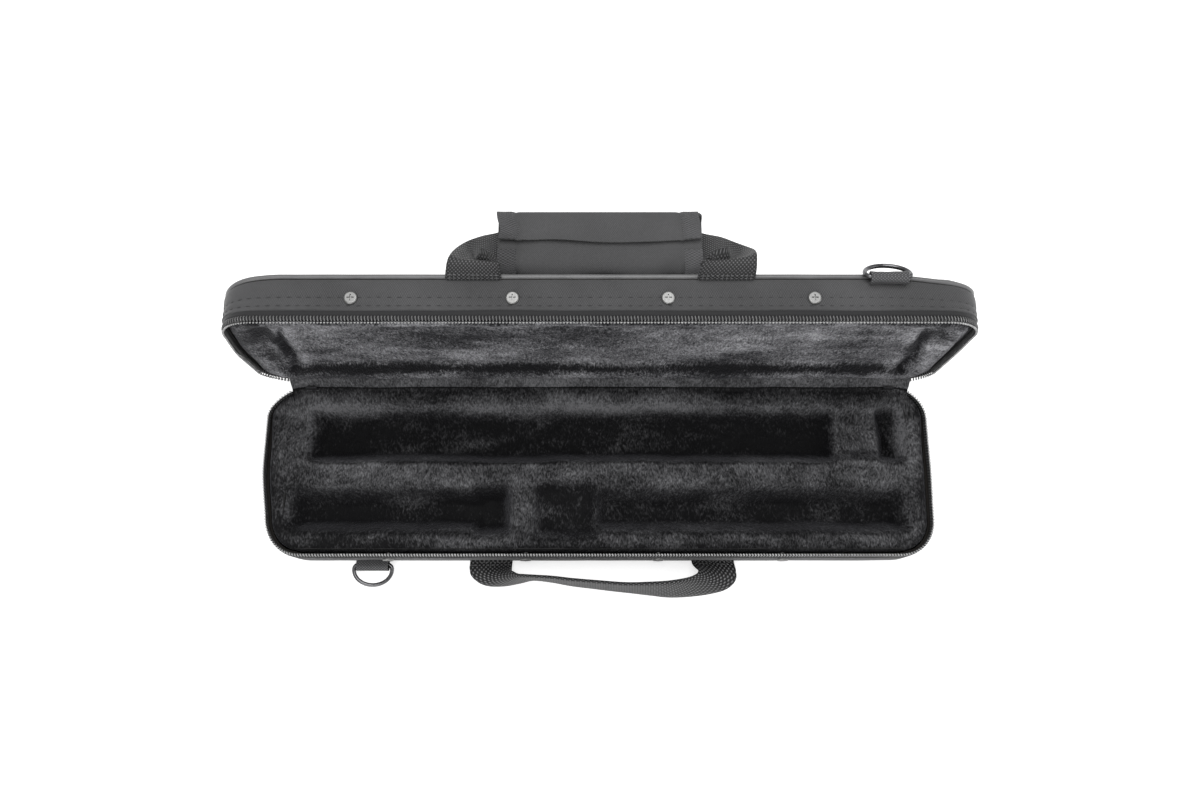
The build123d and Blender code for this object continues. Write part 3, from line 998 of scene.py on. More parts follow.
# ---------------------------------------------------------------- cover and zip
@dataclass
class Cover:
    """The woven cover of one half: wall, outer panel, piping and stitching."""

    half: Half
    row_heights: tuple[float, float] = (13.5, 18.2)
    seam: Seam = field(default_factory=Seam)
    piping_radius: float = 1.4
    piping_inset: float = 1.5
    thickness: float = 0.75
    wall_height: float = 21.0
    panel_thickness: float = 0.525
    panel_step: float = 0.75
    lid_crown: float = 0.9
    tray_inset: float = 2.4
    tray_wall_inset: float = 1.0
    tray_heights: tuple[float, float] = (3.4, 19.9)
    tray_floor: float = 1.15
    tray_thickness: float = 1.7

    @property
    def panel_inset(self) -> float:
        """How far inside the wall the panel's edge is, just under the piping."""
        return self.piping_inset + self.piping_radius - 0.2

    def wall_profile(self) -> list[Vector]:
        """The wall's cloth, from the piping to the turned-in edge at the zip.

        Returns:
            Points of inset and height.
        """
        return [Vector((2.3, 2.9)), Vector((1.3, 3.2)), Vector((0.35, 3.9)), Vector((0.05, 5.6)),
                Vector((-0.05, 9.0)), Vector((-0.04, 13.0)), Vector((-0.08, 17.0)), Vector((-0.12, 19.6)),
                Vector((0.0, 20.5)), Vector((0.85, 20.85))]

    def drop(self, x: float, y: float, height: float) -> float:
        """How far a point of the wall goes in with the sagging edge below it.

        Args:
            x: place along the case of the outline's point.
            y: its place from front to back.
            height: the point's height.

        Returns:
            The shift, less towards the zip.
        """
        return RIM.slump(x, y) * (1 - smooth_step(height, 0.0, 26.0))

    def wall_point(self, s: float, share: float) -> Vector:
        """A point of the wall's outer face.

        Args:
            s: distance along the wall.
            share: from 0 at the piping to 1 at the zip.

        Returns:
            The point, with the pull of the stitching in it.
        """
        inset, height = curve_through(self.wall_profile(), share)
        here = RIM.at(s)[0]
        pull = sum(0.42 * bump(height, row, 1.0) for row in self.row_heights)
        pull *= 1.0 + 0.3 * sin(2 * pi * s / self.seam.pitch)
        wave = 0.34 * drift(Vector((s, height * 2.2, 0)), 26, 1.5)
        wave += 0.16 * drift(Vector((s, height, 9)), 7, 4.0)
        slack = smooth_step(height, 3.2, 6.0)
        edge_lift = 0.4 * smooth_step(height, 18.5, 20.5) * drift(Vector((s, 0, 5)), 38, 2.2)
        point = RIM.at(s, inset + pull - wave * slack)[0]
        return point + Vector((0, 0, height + edge_lift + self.drop(here.x, here.y, height)))

    def build_wall(self) -> None:
        """The woven band around the tray."""
        work = Work(f"{self.half.value}_wall_cloth")
        high = self.wall_height
        lay(work.bm, 330, 30, (RIM.total, high), lambda u, v: self.wall_point(u, v / high))
        fuse(work.bm)
        thicken(work.bm, self.thickness)
        piece = work.finish_half(self.half, "nylon_cover", COVER, ["side_cover"])

    def build_panel(self) -> None:
        """The panel on the tray's outer face, slightly crowned on the lid."""
        work = Work(f"{self.half.value}_panel_cloth")
        inset = self.panel_inset
        reach = CASE.depth / 2 - inset
        crown = self.lid_crown if self.half is Half.LID else 0.0

        def place(u: float, v: float) -> Vector:
            """Where the cloth goes.

            Args:
                u: distance from its left edge.
                v: distance from its front edge.

            Returns:
                The point on its outer face.
            """
            y = v - reach
            x = (2 * u / CASE.length - 1) * RIM.half_width(y, inset)
            edge = min(RIM.half_width(y, inset) - abs(x), reach - abs(y))
            up = self.panel_step * (1 - smooth_step(edge, 0.0, 5.0)) + RIM.slump(x, y)
            full = crown * smooth_step(edge, 0, 30) + crown * 0.5 * drift(Vector((x, y, 0)), 40, 6.0)
            return Vector((x, y, up - full * smooth_step(edge, 0, 8)))

        lay(work.bm, 150, 48, (CASE.length, 2 * reach), place)
        fuse(work.bm)
        thicken(work.bm, self.panel_thickness)
        node = "top_panel" if self.half is Half.LID else "bottom_panel"
        piece = work.finish_half(self.half, "nylon_cover", COVER, [node])

    def build_piping(self) -> None:
        """The corded edge between the panel and the wall."""
        work = Work(f"{self.half.value}_corded_edge")

        def path(s: float) -> Track:
            """Middle of the cord and two ways across it, by the distance along the wall."""
            here, out = RIM.at(s, self.piping_inset + 0.12 * drift(Vector((s, 0, 0)), 17, 2.0))
            return here + UP * (self.piping_inset + RIM.slump(*RIM.at(s)[0].xy)), out, UP

        tube(work.bm, path, RIM.total, 300, self.piping_radius, 14)
        fuse(work.bm)
        work.finish_half(self.half, "vinyl_piping", PIPING, ["piping"], 60)

    def build_stitching(self) -> None:
        """The two rows of stitches that hold the cover's edge and the zip."""
        work = Work(f"{self.half.value}_wall_stitching")
        profile, tries = self.wall_profile(), 400
        heights = [curve_through(profile, i / tries)[1] for i in range(tries + 1)]
        for row in self.row_heights:
            share = min(range(tries + 1), key=lambda i: abs(heights[i] - row)) / tries

            def path(s: float, share: float = share) -> Way:
                """A point of the row and the way out of the wall, by distance."""
                return self.wall_point(s, share), RIM.at(s)[1]

            self.seam.sew(work.bm, RIM.total, path)
        fuse(work.bm, FINE_WELD)
        work.finish_half(self.half, "nylon_cover", THREAD, crease=80)

    def build_tray(self) -> None:
        """The stiff tray in the cover: a floor, and a wall that stops short of the zip."""
        work = Work(f"{self.half.value}_tray_board")
        inset = self.tray_inset
        reach = CASE.depth / 2 - inset

        def place(u: float, v: float) -> Vector:
            """Where the floor goes.

            Args:
                u: distance from its left edge.
                v: distance from its front edge.

            Returns:
                The point on its outer face, sunk under the sagging panel.
            """
            y = v - reach
            x = (2 * u / CASE.length - 1) * RIM.half_width(y, inset)
            return Vector((x, y, self.tray_floor + 0.4 * bump(reach - abs(y), 0, 3) + 1.5 * RIM.slump(x, y)))

        lay(work.bm, 110, 36, (CASE.length, 2 * reach), place)
        fuse(work.bm)
        for height in self.tray_heights:
            for vert in extrude_rim(work.bm):
                hub = RIM.hub(*vert.co.xy)
                out = (vert.co.xy - hub).normalized()
                spot = hub + out * (RIM.corner - self.tray_wall_inset)
                down = self.drop(*(hub + out * RIM.corner), height)
                vert.co = Vector((spot.x, spot.y, height + down))
        turn_out(work.bm, lambda middle: middle.z, -UP)
        thicken(work.bm, self.tray_thickness)
        work.finish_half(self.half, "shell_board", BOARD, ["shell"])

    def build(self) -> None:
        """Builds every piece of the cover."""
        self.build_tray()
        self.build_wall()
        self.build_panel()
        self.build_piping()
        self.build_stitching()


@dataclass
class ZipHalf:
    """One half of the coil zip, sewn inside the cover's edge."""

    half: Half
    tape_width: float = 5.6
    tape_thickness: float = 0.5
    pitch: float = 1.745
    coil_low: float = 23.3
    coil_high: float = 27.42
    coil_inset: float = 0.15
    coil_depth: float = 2.15
    wire: float = 0.3
    slant: float = 0.42
    head_swell: float = 1.0
    core_height: float = 25.05
    core_radius: float = 0.6

    @property
    def run(self) -> float:
        """Length of the zip."""
        return RIM.total - 2 * RIM.zip_start

    @property
    def coil_middle(self) -> float:
        """How far inside the wall the coil's middle runs."""
        return self.coil_inset + self.coil_depth / 2

    def build_tape(self) -> None:
        """The tape between the cover's edge and the coil, with the fold that covers its stitching."""
        work = Work(f"{self.half.value}_zip_tape_cloth")
        profile = [Vector((1.1, 19.6)), Vector((0.95, 20.6)), Vector((0.62, 21.4)), Vector((0.5, 22.3)),
                   Vector((0.62, 23.0)), Vector((1.2, 23.7)), Vector((1.5, 24.9))]

        def place(u: float, v: float) -> Vector:
            """Where the tape goes.

            Args:
                u: distance along the zip.
                v: distance across the tape, from the cover to the coil.

            Returns:
                The point on its outer face.
            """
            inset, height = curve_through(profile, v / self.tape_width)
            ripple = 0.16 * drift(Vector((u, height, 0)), 11, 8.0)
            return RIM.at(u + RIM.zip_start, inset - ripple)[0] + Vector((0, 0, height))

        lay(work.bm, 300, 14, (self.run, self.tape_width), place)
        thicken(work.bm, self.tape_thickness)
        work.finish_half(self.half, "zip_tape", TAPE, ["zip_tape"])

    def tooth(self, bm: bmesh.types.BMesh, s: float) -> None:
        """Adds one turn of the coil, flattened, slanted, and swollen at its head.

        Args:
            bm: the mesh that it joins.
            s: distance of its middle along the wall.
        """
        middle = (self.coil_low + self.coil_high) / 2
        half_high = (self.coil_high - self.coil_low) / 2 - self.wire
        half_deep = self.coil_depth / 2 - self.wire

        def place(u: float, v: float) -> Vector:
            """Where the wire's flat place goes.

            Args:
                u: share of the way round the turn.
                v: share of the way round the wire.

            Returns:
                The point on the wire.
            """
            round_it, around = 2 * pi * u, 2 * pi * v
            up, out_part = sin(round_it), cos(round_it)
            neck = bump(up, 0.62, 0.2)
            wire = self.wire * (1 + self.head_swell * smooth_step(up, 0.7, 1.0) - 0.25 * neck)
            slant = self.slant * self.pitch * (-up if out_part > 0 else up) * abs(out_part) ** 0.5
            squared = abs(out_part) ** 0.6 * (1 if out_part > 0 else -1)
            inset = self.coil_middle - squared * half_deep + 0.3 * max(out_part, 0.0) * neck
            radial = wire * cos(around)
            here = RIM.at(s + slant * 0.5 + wire * sin(around), inset - radial * out_part)[0]
            return here + Vector((0, 0, middle + up * half_high + radial * up))

        lay(bm, 12, 5, (1, 1), place)

    def build_coil(self) -> None:
        """The row of turns round the front."""
        work = Work(f"{self.half.value}_zip_teeth")
        for i in range(int(self.run / self.pitch)):
            self.tooth(work.bm, RIM.zip_start + (i + 0.5) * self.pitch)
        fuse(work.bm, FINE_WELD)
        work.finish_half(self.half, "zip_coil", COIL, ["zip_coil"], 70)

    def build_core(self) -> None:
        """The cord that the coil is wound on."""
        work = Work(f"{self.half.value}_zip_core_cord")

        def path(s: float) -> Track:
            """Middle of the cord and two ways across it, by the distance along the zip."""
            here, out = RIM.at(s + RIM.zip_start, self.coil_middle)
            return here + UP * self.core_height, out, UP

        tube(work.bm, path, self.run, 240, self.core_radius, 8, closed=False)
        fuse(work.bm)
        work.finish_half(self.half, "zip_tape", TAPE, crease=70)

    def build(self) -> None:
        """Builds the tape, the coil and its core."""
        self.build_tape()
        self.build_coil()
        self.build_core()


# ---------------------------------------------------------------- plush lining
@dataclass(frozen=True)
class Well:
    """A rounded hollow pressed into the lining."""

    left: float
    right: float
    low: float
    high: float
    depth: float
    corner: float = 8.0
    lean: float = 5.0
    lip: float = 2.4

    def sink(self, x: float, y: float) -> float:
        """How far the plush sinks at a place.

        Args:
            x: place along the case.
            y: place from front to back.

        Returns:
            The depth, soft at the lip and round at the floor.
        """
        over_x = abs(x - (self.left + self.right) / 2) - (self.right - self.left) / 2 + self.corner
        over_y = abs(y - (self.low + self.high) / 2) - (self.high - self.low) / 2 + self.corner
        outside = hypot(max(over_x, 0), max(over_y, 0)) + min(max(over_x, over_y), 0) - self.corner
        inside = -outside + 1.3 * drift(Vector((x, y, 20)), 24)
        return self.depth * smooth_step(inside, -self.lip, 1.5 * self.lean + 3.0)


@dataclass
class Lining:
    """The plush over the foam of one half."""

    half: Half
    inset: float = 3.9
    back_inset: float = 2.0
    top: float = 26.3
    skirt: float = 10.0
    thickness: float = 1.3
    roll: float = 3.4
    roll_width: float = 5.5
    rim_turn: float = 1.6

    def __post_init__(self) -> None:
        """Keeps the hollows, which are asked for at every point."""
        self.hollows: list[Well] = self.wells()

    def wells(self) -> list[Well]:
        """The hollows: three joints and the lip plate in the base, one wide recess in the lid.

        Returns:
            The hollows, which may run into one another.
        """
        if self.half is Half.LID:
            return [Well(-192.0, 192.0, -44.0, 40.5, 4.8, 12.0, 7.0)]
        return [
            Well(-191, 189, -40.7, 43.7, 2.0, 9.0, 4.0),
            Well(-183, 151, 3.75, 41.75, 19.0),
            Well(140, 189, 3.75, 41.75, 9.0),
            Well(170, 189, 3.75, 41.75, 19.0, 6.5, 4.5),
            Well(-191, -52, -38.75, -9.75, 19.0),
            Well(-82, -52, -41.2, -7.2, 19.0),
            Well(-43, 2, -43.2, -5.3, 11.0, 7.0, 4.5),
            Well(-6, 189, -38.75, -9.75, 19.0),
        ]

    def creases(self, x: float, y: float) -> float:
        """The folds at the two ends of the lid's recess, where the plush is tucked in.

        Args:
            x: place along the case.
            y: place from front to back.

        Returns:
            How deep they are there; below nought where the plush swells beside them.
        """
        if self.half is Half.BASE:
            return 0.0
        run = (y + 48.0) / 96.0
        left = -171.0 - 14.0 * run + 1.5 * sin(y / 9.0)
        right = 177.0 + 7.0 * run + 2.0 * sin(y / 11.0 + 1.0)
        reach = smooth_step(48.0 - abs(y), 2.0, 14.0)
        furrow = 1.2 * bump(x, left, 1.5) + 1.2 * bump(x, right, 2.0) * smooth_step(y, -40, -18)
        return reach * (furrow - 2.4 * bump(x, left - 3.2, 3.4) * smooth_step(left - x, -2, 2)
                        - 2.6 * bump(x, right + 3.4, 3.6) * smooth_step(x - right, -2, 2)
                        - 1.6 * bump(x, left + 5.0, 5.0) - 1.6 * bump(x, right - 5.0, 5.0))

    def inset_at(self, y: float) -> float:
        """How far inside the wall the plush ends: it comes closest along the hinge."""
        return self.inset + (self.back_inset - self.inset) * smooth_step(y, 10.0, 48.0)

    def edge_at(self, x: float, y: float) -> float:
        """How far a place is from the plush's edge."""
        inset = self.inset_at(y)
        return min(RIM.half_width(y, inset) - abs(x), CASE.depth / 2 - inset - abs(y))

    def sink(self, x: float, y: float) -> float:
        """How far the deepest hollow goes down at a place."""
        return max(well.sink(x, y) for well in self.hollows)

    def raised(self, x: float, y: float) -> float:
        """The painted light and shade of the pile at a place.

        Args:
            x: place along the case.
            y: place from front to back.

        Returns:
            About 0 in a deep well and 1 on a slope that faces the light.
        """
        # Painted shade along the plush's edge, where it rolls down beside the zip.
        edge_shade = 0.24 * (1 - smooth_step(self.edge_at(x, y), 0.0, 7.0))
        if self.half is Half.LID:
            recess = self.hollows[0]
            share = recess.sink(x, y) / recess.depth
            # Painted shade in the lid's furrows and at the recess's ends, and painted light on the swells
            # beside the furrows.
            fold = 0.5 * max(self.creases(x, y), 0.0) + 0.12 * min(self.creases(x, y), 0.0)
            fold += 0.8 * bump(abs(x), 178.5 + 0.08 * abs(y + 8), 3.2) * bump(y, -8.0, 36.0)
            fold += 0.45 * bump(abs(x), 184.0, 8.0) * bump(y, -28.0, 18.0)
            # Painted shade on the back half of the recess's slope, towards the hinge.
            return 0.55 - 0.55 * bump(share, 0.5, 0.36) * smooth_step(y, -20, 20) - edge_shade - fold
        nearer, sink, farther = (self.sink(x, at) for at in (y - 1.5, y, y + 1.5))
        # Painted shade on slopes that face away from the light.
        away = smooth_step(farther - nearer, 0.2, 2.4)
        # Painted sheen streaks on the wells' floors.
        painted_sheen_streaks = 0.34 * max(0.0, drift(Vector((x * 0.5, y * 1.4, 11)), 15, 3.0))
        swirl = 0.1 * drift(Vector((x * 0.6, y, 12)), 11, 6.0)
        # Painted shade on the wells' floors, and painted light on their lips and on the back walls that face
        # the light; swirl varies it at random.
        floor = smooth_step(sink + 40 * swirl, 2.0, 15.5)
        back = 0.38 * bump(sink, 7.0, 5.5) * smooth_step(y, -12.0, 14.0)
        level = (0.38 + 0.14 * bump(sink, 4.0, 2.5) + 1.3 * swirl) * (1 - floor) + (0.02 + painted_sheen_streaks) * floor
        return (level + back) * (1 - 0.45 * away) - edge_shade

    def height(self, x: float, y: float) -> float:
        """Height of the plush at a place.

        Args:
            x: place along the case.
            y: place from front to back.

        Returns:
            The height, with the wells, the rolled edge and the unevenness in it.
        """
        edge = self.edge_at(x, y)
        share = min(max(edge, 0.0) / self.roll_width, 1.0)
        roll = self.roll * (1 - sqrt(share * (2 - share)))
        here = Vector((x, y, 0 if self.half is Half.BASE else 50))
        swell = 0.6 * drift(here, 21, 1.0) + 0.4 * drift(here, 7.5, 5.0)
        tuft = 0.3 * drift(Vector((x * 0.7, y * 1.2, 3)), 2.3, 7.0)
        level = self.top - self.sink(x, y) - roll - self.creases(x, y)
        return level + (swell + tuft) * smooth_step(edge, 0, 3) - 0.25

    def build(self) -> None:
        """Builds the plush with its skirt down between the foam and the tray."""
        work = Work(f"{self.half.value}_plush")
        reach = CASE.depth / 2 - self.inset
        width, deep = CASE.length - 2 * self.inset, CASE.depth - self.inset - self.back_inset

        def place(u: float, v: float) -> Vector:
            """Where the cloth goes.

            Args:
                u: distance from its left edge.
                v: distance from its front edge.

            Returns:
                The point on the pile.
            """
            y = v - reach
            x = (2 * u / width - 1) * RIM.half_width(y, self.inset_at(y))
            return Vector((x, y, self.height(x, y)))

        lay(work.bm, 310, 82, (width, deep), place)
        # Stores the painted light and shade of each point in the second map.
        pile = work.bm.loops.layers.uv.new(PAINTED_LIGHT_MAP)
        lightness = {vert: self.raised(vert.co.x, vert.co.y) for vert in work.bm.verts}
        for vert, value in lightness.items():
            for loop in vert.link_loops:
                loop[pile].uv = (value, 0.0)
        fuse(work.bm)
        for drop in (self.rim_turn, self.skirt):
            for vert in extrude_rim(work.bm):
                vert.co.z -= drop
        turn_out(work.bm, lambda middle: middle.xy.length, UP)
        thicken(work.bm, self.thickness)
        finish = LINING if self.half is Half.BASE else LID_LINING_PAINTED_LIGHT
        piece = work.finish_half(self.half, "plush", finish, ["plush_lining"], 60)


# ---------------------------------------------------------------- hinge
@dataclass
class FabricHinge:
    """The cloth that joins the halves: a woven spine outside and a plush strip inside."""

    half_length: float = 187.0
    inner_half_length: float = 192.5
    spine_thickness: float = 0.45
    inner_thickness: float = 0.8

    def strip(self, name: str, profile: Sequence[Vector], half: float, columns: int, rows: int,
              wave: float) -> Work:
        """Lays a strip along the hinge.

        Args:
            name: the piece's name.
            profile: Y and Z across it, from the base to the open lid.
            half: half its length.
            columns: faces along it.
            rows: faces across it.
            wave: how uneven it is.

        Returns:
            The strip, not yet thick.
        """
        work = Work(name)
        size = path_length(profile)

        def place(u: float, v: float) -> Vector:
            """Where the cloth goes.

            Args:
                u: distance from its left end.
                v: distance across it, from the base to the lid.

            Returns:
                The point on its outer face.
            """
            x, share = u - half, v / size
            y, z = curve_through(profile, share)
            lift = 4 * wave * share * (1 - share)
            lift *= drift(Vector((x, v, 0)), 24, 3.0) + 0.4 * drift(Vector((x, v, 7)), 8, 5.0)
            drawn = CASE.back - RIM.half_depth(x)
            return Vector((x, y - lift * 0.7 - drawn * (1 - share), z + lift * 0.7 + drawn * share))

        lay(work.bm, columns, rows, (2 * half, size), place)
        return work

    def build_spine(self) -> None:
        """The woven spine outside, curved from the base to the open lid."""
        back, high = CASE.back, CASE.half_height
        outside = [Vector((back + 0.2, 19.4)), Vector((back + 0.28, 21.6)), Vector((back + 0.35, 24.0)),
                   Vector((back + 0.75, high - 1.1)), Vector((back + 2.2, high - 0.25)),
                   Vector((back + 5.4, high - 0.2)), Vector((back + 8.1, high - 0.25))]
        spine = self.strip("spine_cloth", outside, self.half_length, 140, 14, 0.0)
        thicken(spine.bm, self.spine_thickness)
        piece = spine.finish("base", "nylon_cover", COVER, ("base_spine_strip", "lid_spine_strip"))
        piece.parent = None
        start, end = (0, (back + 0.3) * MM, 24.2 * MM), (0, (back + 3.4) * MM, high * MM)
        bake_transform(piece)
        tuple(start)
        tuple(end)

    def build_inner_strip(self) -> None:
        """The plush strip over the fold inside, with painted shade darkest in the fold itself and lighter
        towards the lid.
        """
        inside = [Vector((48.4, 24.8)), Vector((50.1, 26.2)), Vector((51.4, 26.6)), Vector((51.9, 26.8)),
                  Vector((52.3, 28.2)), Vector((53.9, 30.6)), Vector((56.9, 33.8))]
        strip = self.strip("hinge_plush", inside, self.inner_half_length, 220, 14, 0.9)
        pile = strip.bm.loops.layers.uv.new(PAINTED_LIGHT_MAP)
        cloth = strip.bm.loops.layers.uv[CLOTH_MAP]
        size = path_length(inside)
        for loop in (loop for face in strip.bm.faces for loop in face.loops):
            # Painted shade in the fold, and lighter towards the lid.
            share = loop[cloth].uv.y / size
            loop[pile].uv = (0.26 + 0.44 * smooth_step(share, 0.42, 0.6) - 0.6 * bump(share, 0.38, 0.06), 0.0)
        thicken(strip.bm, self.inner_thickness)
        piece = strip.finish("base", "plush", LINING)
        piece.parent = None
        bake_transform(piece)

    def build(self) -> None:
        """Builds the spine and the plush strip."""
        self.build_spine()
        self.build_inner_strip()


# ---------------------------------------------------------------- webbing
@dataclass
class Strap:
    """A flat webbing strap through stations from its left foot to its right one.

    A station is the place of each selvedge, and how far the webbing is cupped between them.
    """

    name: str
    body: str
    node: str
    stations: Sequence[tuple[Sequence[float], Sequence[float], float]]
    place: Matrix
    look: Webbing = STRAP
    width: float = 26.0
    thickness: float = 1.7
    steps: int = 230
    unevenness: float = 0.35
    parts: int = 500
    foot_seam: Seam = field(default_factory=lambda: Seam(2.1, 1.5, 0.26))
    foot_rows: tuple[float, float] = (1.9, 4.1)
    foot_row_length: float = 24.0

    def __post_init__(self) -> None:
        """Reads the stations into a close run of middles, widths, cups and distances."""
        shares = [i / self.parts for i in range(self.parts + 1)]
        edges = [[Vector(station[i]) for station in self.stations] for i in (0, 1)]
        first, last = ([curve_through(edge, share) for share in shares] for edge in edges)
        self.middles = [(a + b) / 2 for a, b in zip(first, last)]
        self.widths = [b - a for a, b in zip(first, last)]
        cups = [Vector((station[2], 0.0)) for station in self.stations]
        self.cups = [curve_through(cups, share).x for share in shares]
        self.distances = [0.0]
        for first, second in zip(self.middles, self.middles[1:]):
            self.distances.append(self.distances[-1] + (second - first).length)

    @property
    def length(self) -> float:
        """The strap's length along its middle."""
        return self.distances[-1]

    def frame_at(self, distance: float) -> tuple[Vector, Vector, Vector, float]:
        """The strap at a place along it.

        Args:
            distance: how far the place is from the left foot.

        Returns:
            Its middle, half its width as a vector, the way out of its face, and how far it is cupped.
        """
        i = min(max(bisect(self.distances, distance) - 1, 0), self.parts - 1)
        share = (distance - self.distances[i]) / (self.distances[i + 1] - self.distances[i])
        middle = self.middles[i].lerp(self.middles[i + 1], share)
        along = (self.middles[min(i + 3, self.parts)] - self.middles[max(i - 2, 0)]).normalized()
        across = self.widths[i].lerp(self.widths[i + 1], share) / 2
        return middle, across, along.cross(across).normalized(), self.cups[i]

    def section(self) -> list[tuple[float, float]]:
        """The outline of the strap's section, with rounded selvedges.

        Returns:
            Points of side and height, once round.
        """
        half, thin = self.width / 2, self.thickness / 2
        outline = [(-half + thin, -thin), (half - thin, -thin), (half, 0.0),
                   (half - thin, thin), (-half + thin, thin), (-half, 0.0)]
        face, selvedge = (0.0, 0.18, 0.34, 0.5, 0.66, 0.82), (0.0, 0.5)
        return [(x0 + (x1 - x0) * share, y0 + (y1 - y0) * share)
                for (x0, y0), (x1, y1) in zip(outline, outline[1:] + outline[:1])
                for share in (face if abs(x1 - x0) > half else selvedge)]

    def build(self) -> None:
        """Builds the strap and the stitches at its two feet."""
        work = Work(self.name)
        length, half = self.length, self.width / 2
        ring = self.section()
        count = len(ring)

        def place(u: float, v: float) -> Vector:
            """Where the webbing goes.

            Args:
                u: distance from the left foot.
                v: number of a point of the section.

            Returns:
                The point on its surface.
            """
            side, face = ring[round(v) % count]
            middle, across, out, cup = self.frame_at(u)
            free = smooth_step(min(u, length - u), 4.0, 20.0)
            sway = self.unevenness * free * drift(Vector((u, 0, side * 0.6)), 23, 2.0)
            share = side / half
            cupped = cup * (1 - share ** 4) * (1 + 0.6 * share)
            return middle + across * share + out * (face + sway + cupped)

        lay(work.bm, self.steps, count, (length, float(count)), place)
        layer = work.bm.loops.layers.uv[CLOTH_MAP]
        for face in work.bm.faces:
            for loop in face.loops:
                loop[layer].uv.y = ring[round(loop[layer].uv.y) % count][0] + half
        close_ends(work.bm)
        work.finish(self.body, "webbing", self.look, (self.node,), self.place, 50)
        self.build_feet()

    def build_feet(self) -> None:
        """The short rows of thread that show where each foot goes into the seam."""
        work = Work(f"{self.name}_foot_stitching")
        half_row = self.foot_row_length / 2
        for distance in (*self.foot_rows, *(self.length - row for row in self.foot_rows)):
            middle, across, out, _ = self.frame_at(distance)
            for face in (1, -1):
                def path(s: float) -> Way:
                    """A point of the row and the way out of the webbing, by distance."""
                    point = middle + across * (s / half_row - 1) * 0.92
                    return point + out * face * self.thickness / 2, out * face

                self.foot_seam.sew(work.bm, self.foot_row_length, path)
        fuse(work.bm, FINE_WELD)
        work.finish(self.body, "webbing", PALE_THREAD, (), self.place, 80)


@dataclass
class RingTab:
    """Webbing folded round a ring's bar and sewn into the front seam."""

    half: Half
    x: float
    width: float = 19.6
    reach: float = 6.8
    height: float = 6.2
    middle: float = 4.6
    wall: float = 1.1

    @property
    def radius(self) -> float:
        """Radius of the fold round the ring's bar."""
        return self.height / 2 - self.wall / 2

    @property
    def straight(self) -> float:
        """Length of each leg, from the wall to the fold."""
        return self.reach - self.height / 2

    @property
    def size(self) -> float:
        """Length of the webbing, out to the fold and back."""
        return 2 * self.straight + pi * self.radius

    def fold(self, v: float) -> tuple[float, float]:
        """The tab's section.

        Args:
            v: distance along the webbing, out over the bar and back under it.

        Returns:
            How far out from the wall, and how far above the bar, the webbing is there.
        """
        if v < self.straight:
            return v, self.radius
        if v > self.size - self.straight:
            return self.size - v, -self.radius
        turn = (v - self.straight) / self.radius
        return self.straight + sin(turn) * self.radius, cos(turn) * self.radius

    def build(self) -> None:
        """Builds the folded tab."""
        work = Work(f"{self.half.value}_ring_tab_webbing")

        def place(u: float, v: float) -> Vector:
            """Where the webbing goes.

            Args:
                u: distance from its left selvedge.
                v: distance along it.

            Returns:
                The point on its outer face.
            """
            out, up = self.fold(v)
            pinch = 0.3 * smooth_step(self.straight - out, 0, self.straight)
            pinch -= 0.12 * smooth_step(abs(u - self.width / 2), 6, 10)
            wave = 0.3 * drift(Vector((u, v, 0)), 6, 3.0)
            y = CASE.front - out - 0.1
            return Vector((self.x + u - self.width / 2, y, self.middle + up * (1 - pinch) + wave))

        lay(work.bm, 26, 30, (self.width, self.size), place)
        thicken(work.bm, self.wall)
        work.finish_half(self.half, "webbing", TAB, ["ring_tab"], 50)


def upright(middles: Sequence[Sequence[float]], widths: Sequence[Sequence[float]],
            half: float = 13.2) -> list[tuple[Vector, Vector, float]]:
    """Stations of even width.

    Args:
        middles: the middle of each station.
        widths: the direction of each one's width, from the first selvedge to the second.
        half: half the width.

    Returns:
        The stations, flat across.
    """
    pairs = [(Vector(middle), Vector(width).normalized() * half) for middle, width in zip(middles, widths)]
    return [(middle - reach, middle + reach, 0.0) for middle, reach in pairs]


def base_strap() -> Strap:
    """The base's strap: it leaves the front seam and stands on its edge along the wall.

    Returns:
        The strap.
    """
    middles = [(-67.6, -53.3, 3.3), (-67.6, -55.4, 3.6), (-67.6, -58.6, 5.4), (-66.5, -62.2, 8.2),
               (-62.0, -65.2, 11.0), (-54.6, -66.4, 13.2), (-46.9, -65.8, 14.1), (-40.1, -65.2, 14.4),
               (-28.0, -66.2, 14.4), (-16.4, -67.8, 14.3), (0.0, -69.6, 14.2), (16.4, -70.9, 14.1),
               (30.0, -71.6, 13.9), (41.3, -71.9, 13.7), (52.5, -71.0, 13.3), (61.6, -69.4, 12.6),
               (68.6, -66.8, 11.6), (71.6, -63.0, 10.0), (71.0, -59.0, 7.4), (70.2, -55.6, 4.4),
               (70.0, -53.3, 3.3)]
    widths = [(1, 0, 0), (1, 0, 0), (1, 0.03, 0.03), (0.96, 0.13, 0.26), (0.76, 0.27, 0.6), (0.43, 0.2, 0.88),
              (0.18, 0.1, 0.98), (0.08, 0.02, 1), (0.04, 0.05, 1), (0.02, 0.08, 1), (-0.01, 0.1, 1),
              (-0.03, 0.13, 0.99), (-0.04, 0.22, 0.97), (-0.1, 0.3, 0.95), (-0.28, 0.33, 0.9),
              (-0.55, 0.33, 0.77), (-0.74, 0.33, 0.58), (-0.92, 0.22, 0.32), (-0.99, 0.07, 0.13),
              (-1, 0, 0.03), (-1, 0, 0)]
    return Strap("base_webbing_strap", "base_handle", "base_handle_strap", upright(middles, widths),
                 Matrix.Identity(4))


